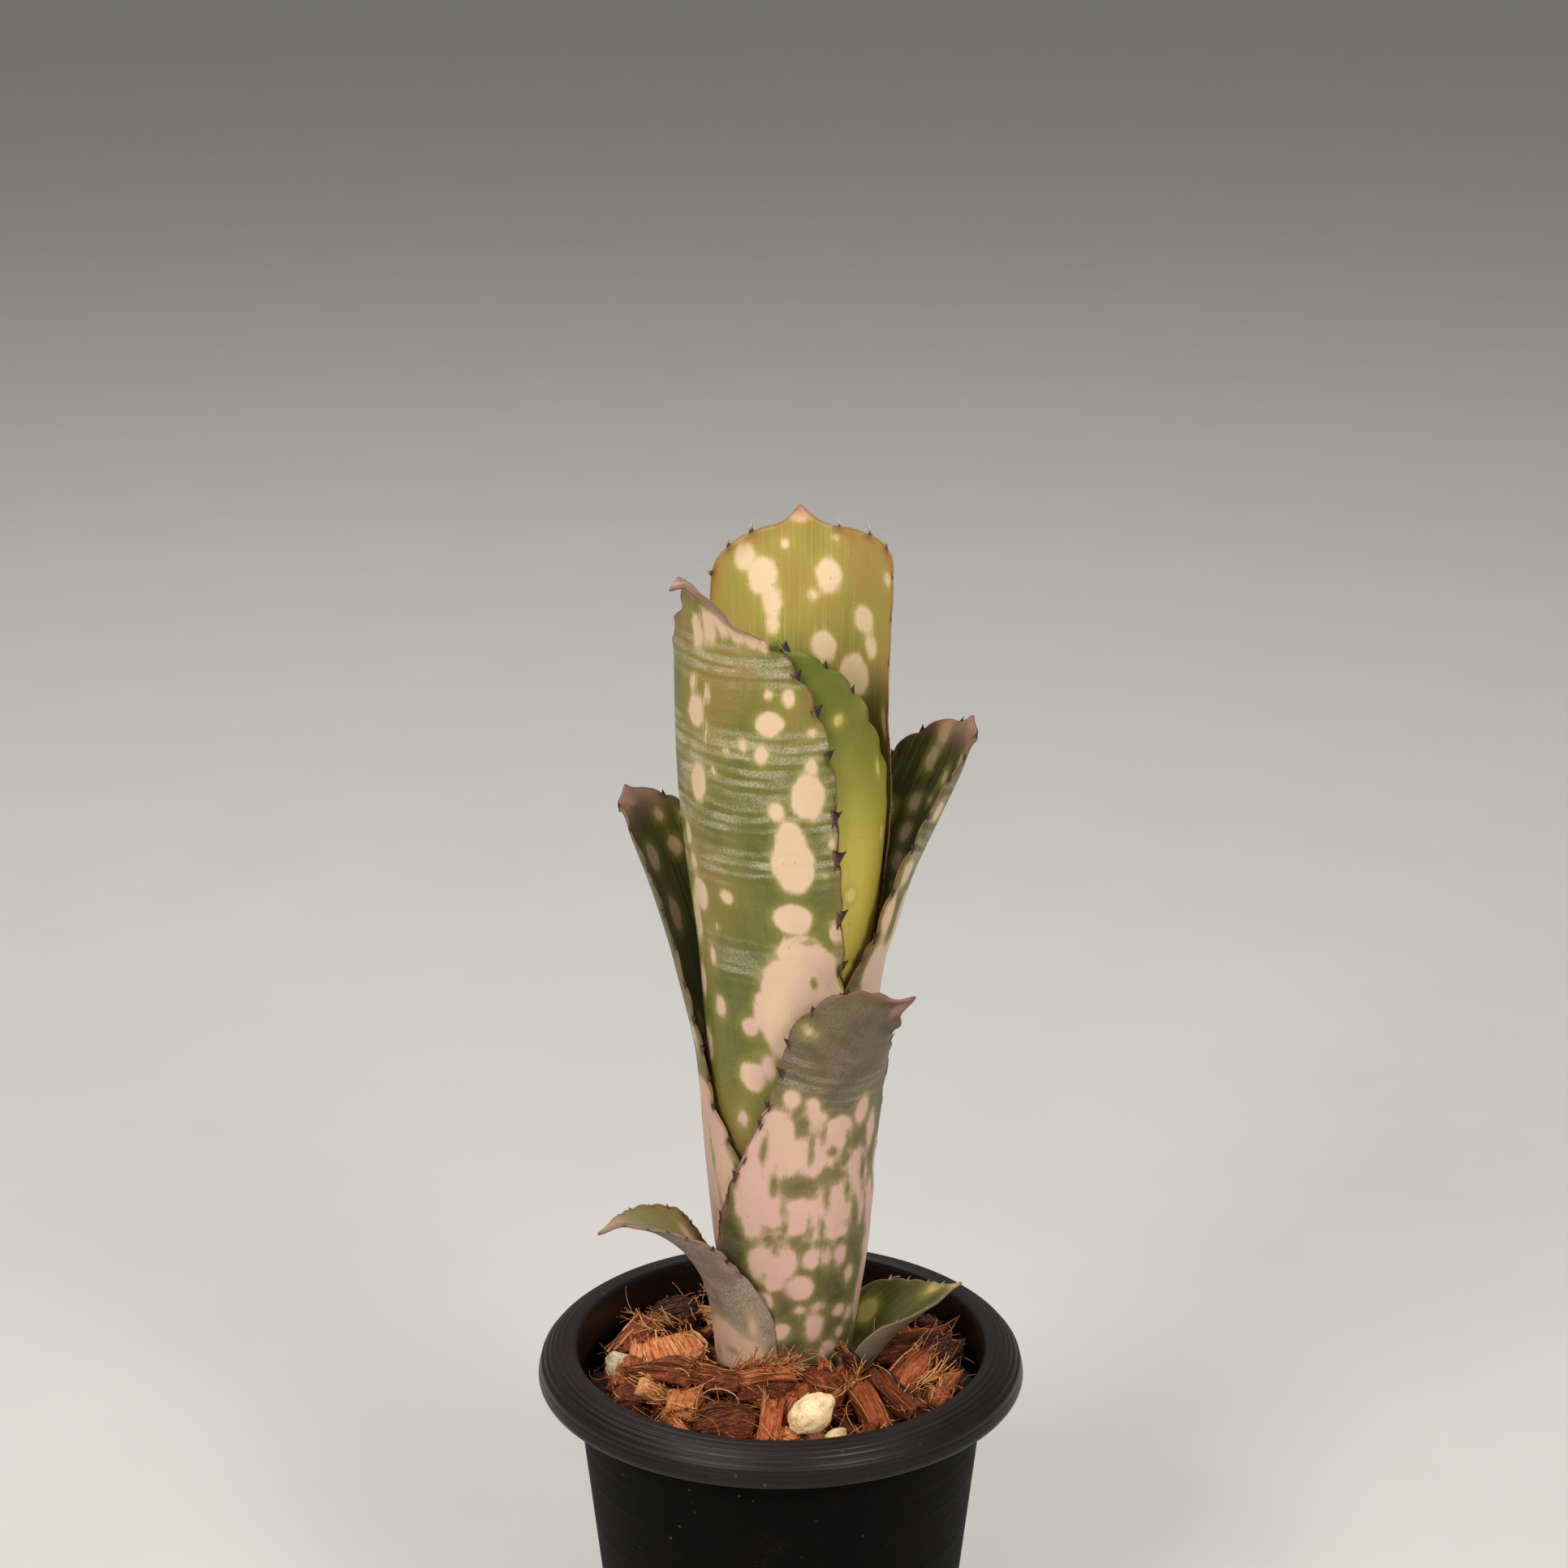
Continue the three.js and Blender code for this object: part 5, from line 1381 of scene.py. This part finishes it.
class Bed:
    """Chips, strands and fibres, laid one after another where they keep clear of the leaves and the pot."""

    def __init__(self, leaf_tree):
        self.rng = np.random.default_rng(41)
        self.leaf_tree = leaf_tree
        self.corners, self.quads = block_surface(CHIP_CELLS)
        self.chips, self.strands, self.fibres = Heap(), Heap(), Heap()

    def chip_fits(self, points):
        if from_plant_axis(points).min() < CHIP_ROOM["from_axis"]:
            return False
        if not within_mouth(points, CHIP_ROOM["from_mouth"]):
            return False
        return all(self.leaf_tree.find(point)[2] > CHIP_ROOM["from_leaves"] for point in points[::3])

    def strand_fits(self, path):
        if not within_mouth(path, STRAND_ROOM["from_mouth"]):
            return False
        if path[:, 2].max() > STRAND_ROOM["high"] or path[:, 2].min() < STRAND_ROOM["low"]:
            return False
        return min(self.leaf_tree.find(point)[2] for point in path) > STRAND_ROOM["from_leaves"]

    def add_fibre(self, path, radius, tone):
        if self.strand_fits(path):
            points, faces = fibre_tube(path, radius)
            self.fibres.add(points, faces, points + self.rng.uniform(-40, 40, 3), tone)

    def add_chip(self, at, size, angles, tone, loose):
        """One chip with the strands along it and the loose fibres at its ends. False if it has no room."""
        rng = self.rng
        at = np.asarray(at, float)
        axes = turn_matrix(*angles)
        narrowing = rng.uniform(-0.1, 0.4)
        warp = chip_warp(size, rng)
        shape = warp(chip_block(self.corners, size, narrowing, rng))
        points = shape @ axes + at
        if not self.chip_fits(points):
            return False
        grain = rng.uniform(-60, 60, 3)
        self.chips.add(points, self.quads, shape + grain, tone - 0.06)
        for line in chip_strands(size, narrowing, axes, rng):
            line = warp(line)
            if self.strand_fits(line @ axes + at):
                tube, faces = fibre_tube(line, rng.uniform(*STRAND["radius"]))
                own_grain = tube + grain + rng.uniform(-3, 3, 3)
                self.strands.add(tube @ axes + at, faces, own_grain, tone + rng.normal(0.03, 0.2))
        for _ in range(loose):
            end = rng.choice([-1, 1])
            along, across, up = end * rng.uniform(0.2, 0.5), rng.uniform(-0.45, 0.45), rng.uniform(-0.1, 0.5)
            start = at + np.array([along, across, up]) * size @ axes
            heading = unit(axes[0] * end + axes[1] * rng.normal(0, 0.35) + UP * rng.normal(0.12, 0.25))
            path = fibre_path(start, heading, rng.uniform(2.5, 8), rng.normal(0, 0.24), rng)
            self.add_fibre(path, rng.uniform(0.08, 0.17), rng.uniform(0.5, 0.95))
        return True

    def lay_shown_chips(self):
        """Each shown chip lies as high as it can: at its place, or lower in steps of half a millimetre."""
        for (x, y, z), size, turn, pitch, roll, tone, loose in SHOWN_CHIPS:
            for lower in range(8):
                if self.add_chip((x, y, z - lower * 0.5), size, (turn, pitch, roll), tone, loose):
                    break

    def lay_tufts(self):
        rng = self.rng
        for start, end, way, count, longest in TUFTS:
            start, end = np.array(start), np.array(end)
            for _ in range(count):
                foot = start + (end - start) * rng.uniform() + rng.normal(0, 0.35, 3)
                heading = unit(unit(np.array(way, float)) + rng.normal(0, 0.28, 3))
                path = fibre_path(foot, heading, longest * rng.uniform(0.35, 1), rng.normal(0, 0.1), rng)
                self.add_fibre(path, rng.uniform(0.1, 0.24), rng.uniform(0.45, 1.0))

    def lay_spread_chips(self):
        """Random chips on a spiral that covers the bed evenly."""
        rng = self.rng
        golden = math.pi * (3 - math.sqrt(5))
        for i in range(CHIPS["count"]):
            share = (i + 0.5) / CHIPS["count"]
            r = math.sqrt(CHIPS["inner"] ** 2 + (CHIPS["outer"] ** 2 - CHIPS["inner"] ** 2) * share)
            angle = i * golden + rng.uniform(-0.3, 0.3)
            size = np.array([rng.uniform(*CHIPS[key]) for key in ("length", "width", "height")])
            turn = rng.uniform(0, 360)
            if r > CHIPS["at_wall"] or r < CHIPS["at_tube"]:
                turn = math.degrees(angle) + 90 + rng.normal(0, 22)
            place = (r * math.cos(angle), r * math.sin(angle), bed_height(r) + rng.uniform(-6, 1.8))
            angles = (turn, rng.normal(0, 24), rng.normal(0, 30))
            loose = int(rng.integers(1, 9))
            self.add_chip(place, size, angles, rng.beta(1.1, 1.4), loose)

    def lay_loose_fibres(self):
        rng = self.rng
        for _ in range(LOOSE_FIBRES["count"]):
            r = LOOSE_FIBRES["outer"] * math.sqrt(rng.uniform(0.15, 1))
            angle = rng.uniform(0, 2 * math.pi)
            start = np.array([r * math.cos(angle), r * math.sin(angle), bed_height(r) + rng.uniform(0.5, 5)])
            heading = unit(np.array([*rng.normal(size=2), rng.normal(0, 0.2)]))
            path = fibre_path(start, heading, rng.uniform(5, 17), rng.normal(0, 0.26), rng, steps=10)
            self.add_fibre(path, rng.uniform(0.1, 0.2), rng.uniform(0.5, 1.0))


def make_bed(leaves):
    bed = Bed(leaf_clearance(leaves))
    bed.lay_shown_chips()
    bed.lay_tufts()
    bed.lay_spread_chips()
    bed.lay_loose_fibres()
    husk = husk_material()
    bed.chips.piece("husk_chips", husk)
    bed.strands.piece("husk_strands", husk)
    bed.fibres.piece("husk_fibres", husk)


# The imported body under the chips: rings and sides of its mesh, from where up it is lumpy, and the hollow in
# it for the tube of leaf bases.
BODY = {"rings": 46, "sides": 150, "lumpy_from": 88, "hollow": 18, "hollow_deep": 22, "hollow_above": 60}


def make_bed_body(material):
    """The packed body of the bed under the chips, whose near-black is partly painted shade."""
    foot = BED["floor"]

    def wall_at(z):
        return POT["foot"] + POT["taper"] * z - POT["wall"] - CLEARANCE

    rim = wall_at(BED["at_wall"] - BED["sunk"])
    section = [
        (0, foot), (wall_at(foot) * 0.5, foot), (wall_at(foot), foot),
        *[(wall_at(z), z) for z in np.linspace(12, 84, 7)],
        *[(rim * share, float(bed_height(rim * share)) - BED["sunk"])
          for share in np.linspace(0, 1, BODY["rings"])[:0:-1]],
        (0, BED["at_plant"] - BED["sunk"]),
    ]
    points, faces = turned_surface(section, BODY["sides"])
    top = smooth((points[:, 2] - BODY["lumpy_from"]) / 4)
    rough = noise_at(points * 0.3, 5) + 0.6 * noise_at(points * 0.8, 6)
    points[:, 2] += rough * 0.9 * top
    from_axis = from_plant_axis(points)
    sink = (from_axis < BODY["hollow"]) & (points[:, 2] > BODY["hollow_above"])
    points[sink, 2] -= BODY["hollow_deep"] * smooth((BODY["hollow"] - from_axis[sink]) / 2)
    new_piece("husk_body", points, faces, [material], "husk_chips", "husk_bed")


# The stones on the bed: middle, half-sizes, turn and tilt in degrees, and how lumpy. "detail" is how fine the
# ball is that they are shaped from.
STONES = {
    "pumice_large": {
        "at": (7.6, -33, 105.1), "half": (6.0, 4.2, 4.6), "turn": 10, "tilt": 38, "seed": 2, "detail": 6,
        "lumps": 0.14, "light": srgb(255, 226, 178), "dark": srgb(232, 190, 138),
    },
    "pumice_grey": {
        "at": (-39.6, -5, 103.4), "half": (4.2, 3.6, 3.4), "turn": -30, "tilt": 0, "seed": 6, "detail": 5,
        "lumps": 0.22, "light": srgb(196, 180, 152), "dark": srgb(132, 120, 100),
    },
    "pumice_chip": {
        "at": (13.4, -38.5, 102.4), "half": (2.9, 1.8, 1.8), "turn": 10, "tilt": 0, "seed": 9, "detail": 4,
        "lumps": 0.25, "light": srgb(226, 200, 150), "dark": srgb(168, 138, 92),
    },
}


def make_stone(name, stone):
    ball = bmesh.new()
    bmesh.ops.create_icosphere(ball, subdivisions=stone["detail"], radius=1)
    ways = unit(np.array([vertex.co[:] for vertex in ball.verts]))
    faces = [[vertex.index for vertex in face.verts] for face in ball.faces]
    ball.free()
    seed = stone["seed"]
    swell = stone["lumps"] * noise_at(ways * 1.3 + 7, seed) + 0.06 * noise_at(ways * 3.5 + 3, seed + 1)
    pits = noise_at(ways * 9 + 5, seed + 2) - 0.35
    size = 1 + swell - 0.05 * np.clip(pits, 0, 1) + 0.012 * noise_at(ways * 20, seed + 3)
    points = ways * size[:, None] * np.array(stone["half"])
    points = turned_about((0, 1, 0), -math.radians(stone["tilt"]), points)
    points = turned_about(UP, math.radians(stone["turn"]), points) + np.array(stone["at"])
    material = pumice_material(name + "_rock", stone["light"], stone["dark"])
    new_piece(name + "_stone", points, faces, [material], "pumice", name)


# The studio: floor, lights and the camera at the photograph's viewing angle.
CAMERA = {"at": (0.80, -801.2, 518.0), "down": 18.313, "focal_share": 4424.95 / 1932, "sensor": 36, "far": 50}
FLOOR_HALF = 7000
LIGHTS = [  # place, power in watts, size in millimetres, colour
    ((-620, -900, 900), 10.5, 400, (1.0, 0.97, 0.92)),
    ((620, -900, 900), 9, 400, (1.0, 0.97, 0.92)),
    ((-200, 500, 1700), 16, 1200, (1.0, 0.98, 0.96)),
]
AIM = (0, 0, 190)
AROUND = {"Color": (0.93, 0.93, 0.92, 1), "Strength": 0.26}


def add_to_scene(name, data, place=(0, 0, 0), turn=(0, 0, 0)):
    thing = bpy.data.objects.new(name, data)
    thing.location = [c * MM for c in place]
    thing.rotation_euler = turn
    bpy.context.scene.collection.objects.link(thing)
    return thing


def make_studio():
    corner = FLOOR_HALF * MM
    mesh = bpy.data.meshes.new("floor")
    corners = [(-corner, -corner, 0), (corner, -corner, 0), (corner, corner, 0), (-corner, corner, 0)]
    mesh.from_pydata(corners, [], [(0, 1, 2, 3)])
    mesh.materials.append(floor_material())
    add_to_scene("floor", mesh)
    for place, power, size, colour in LIGHTS:
        light = bpy.data.lights.new("softbox", "AREA")
        light.energy = power
        light.size = size * MM
        light.color = colour
        x, y, z = (a - b for a, b in zip(AIM, place))
        turn = (math.atan2(math.hypot(x, y), -z), 0, math.atan2(y, x) - math.pi / 2)
        add_to_scene("softbox", light, place, turn)
    world = bpy.data.worlds.new("studio")
    world.use_nodes = True
    for key, value in AROUND.items():
        world.node_tree.nodes["Background"].inputs[key].default_value = value
    camera = bpy.data.cameras.new("camera")
    camera.sensor_width = CAMERA["sensor"]
    camera.lens = CAMERA["sensor"] * CAMERA["focal_share"]
    camera.clip_end = CAMERA["far"]
    scene = bpy.context.scene
    scene.world = world
    scene.camera = add_to_scene("camera", camera, CAMERA["at"], (math.radians(90 - CAMERA["down"]), 0, 0))
    scene.view_settings.view_transform = "Standard"


make_studio()
make_pot()
horns = (spine_material("spine_horn", srgb(30, 19, 15)), spine_material("spine_hair", srgb(186, 174, 152)))
leaves = [make_leaf(name, horns) for name in LEAVES]
make_bed_body(crumb_and_shade_material())
make_bed(leaves)
for name, stone in STONES.items():
    make_stone(name, stone)
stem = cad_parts["stem"]
stem.data.materials.clear()
stem.data.materials.append(stem_material())

bpy.context.view_layer.update()
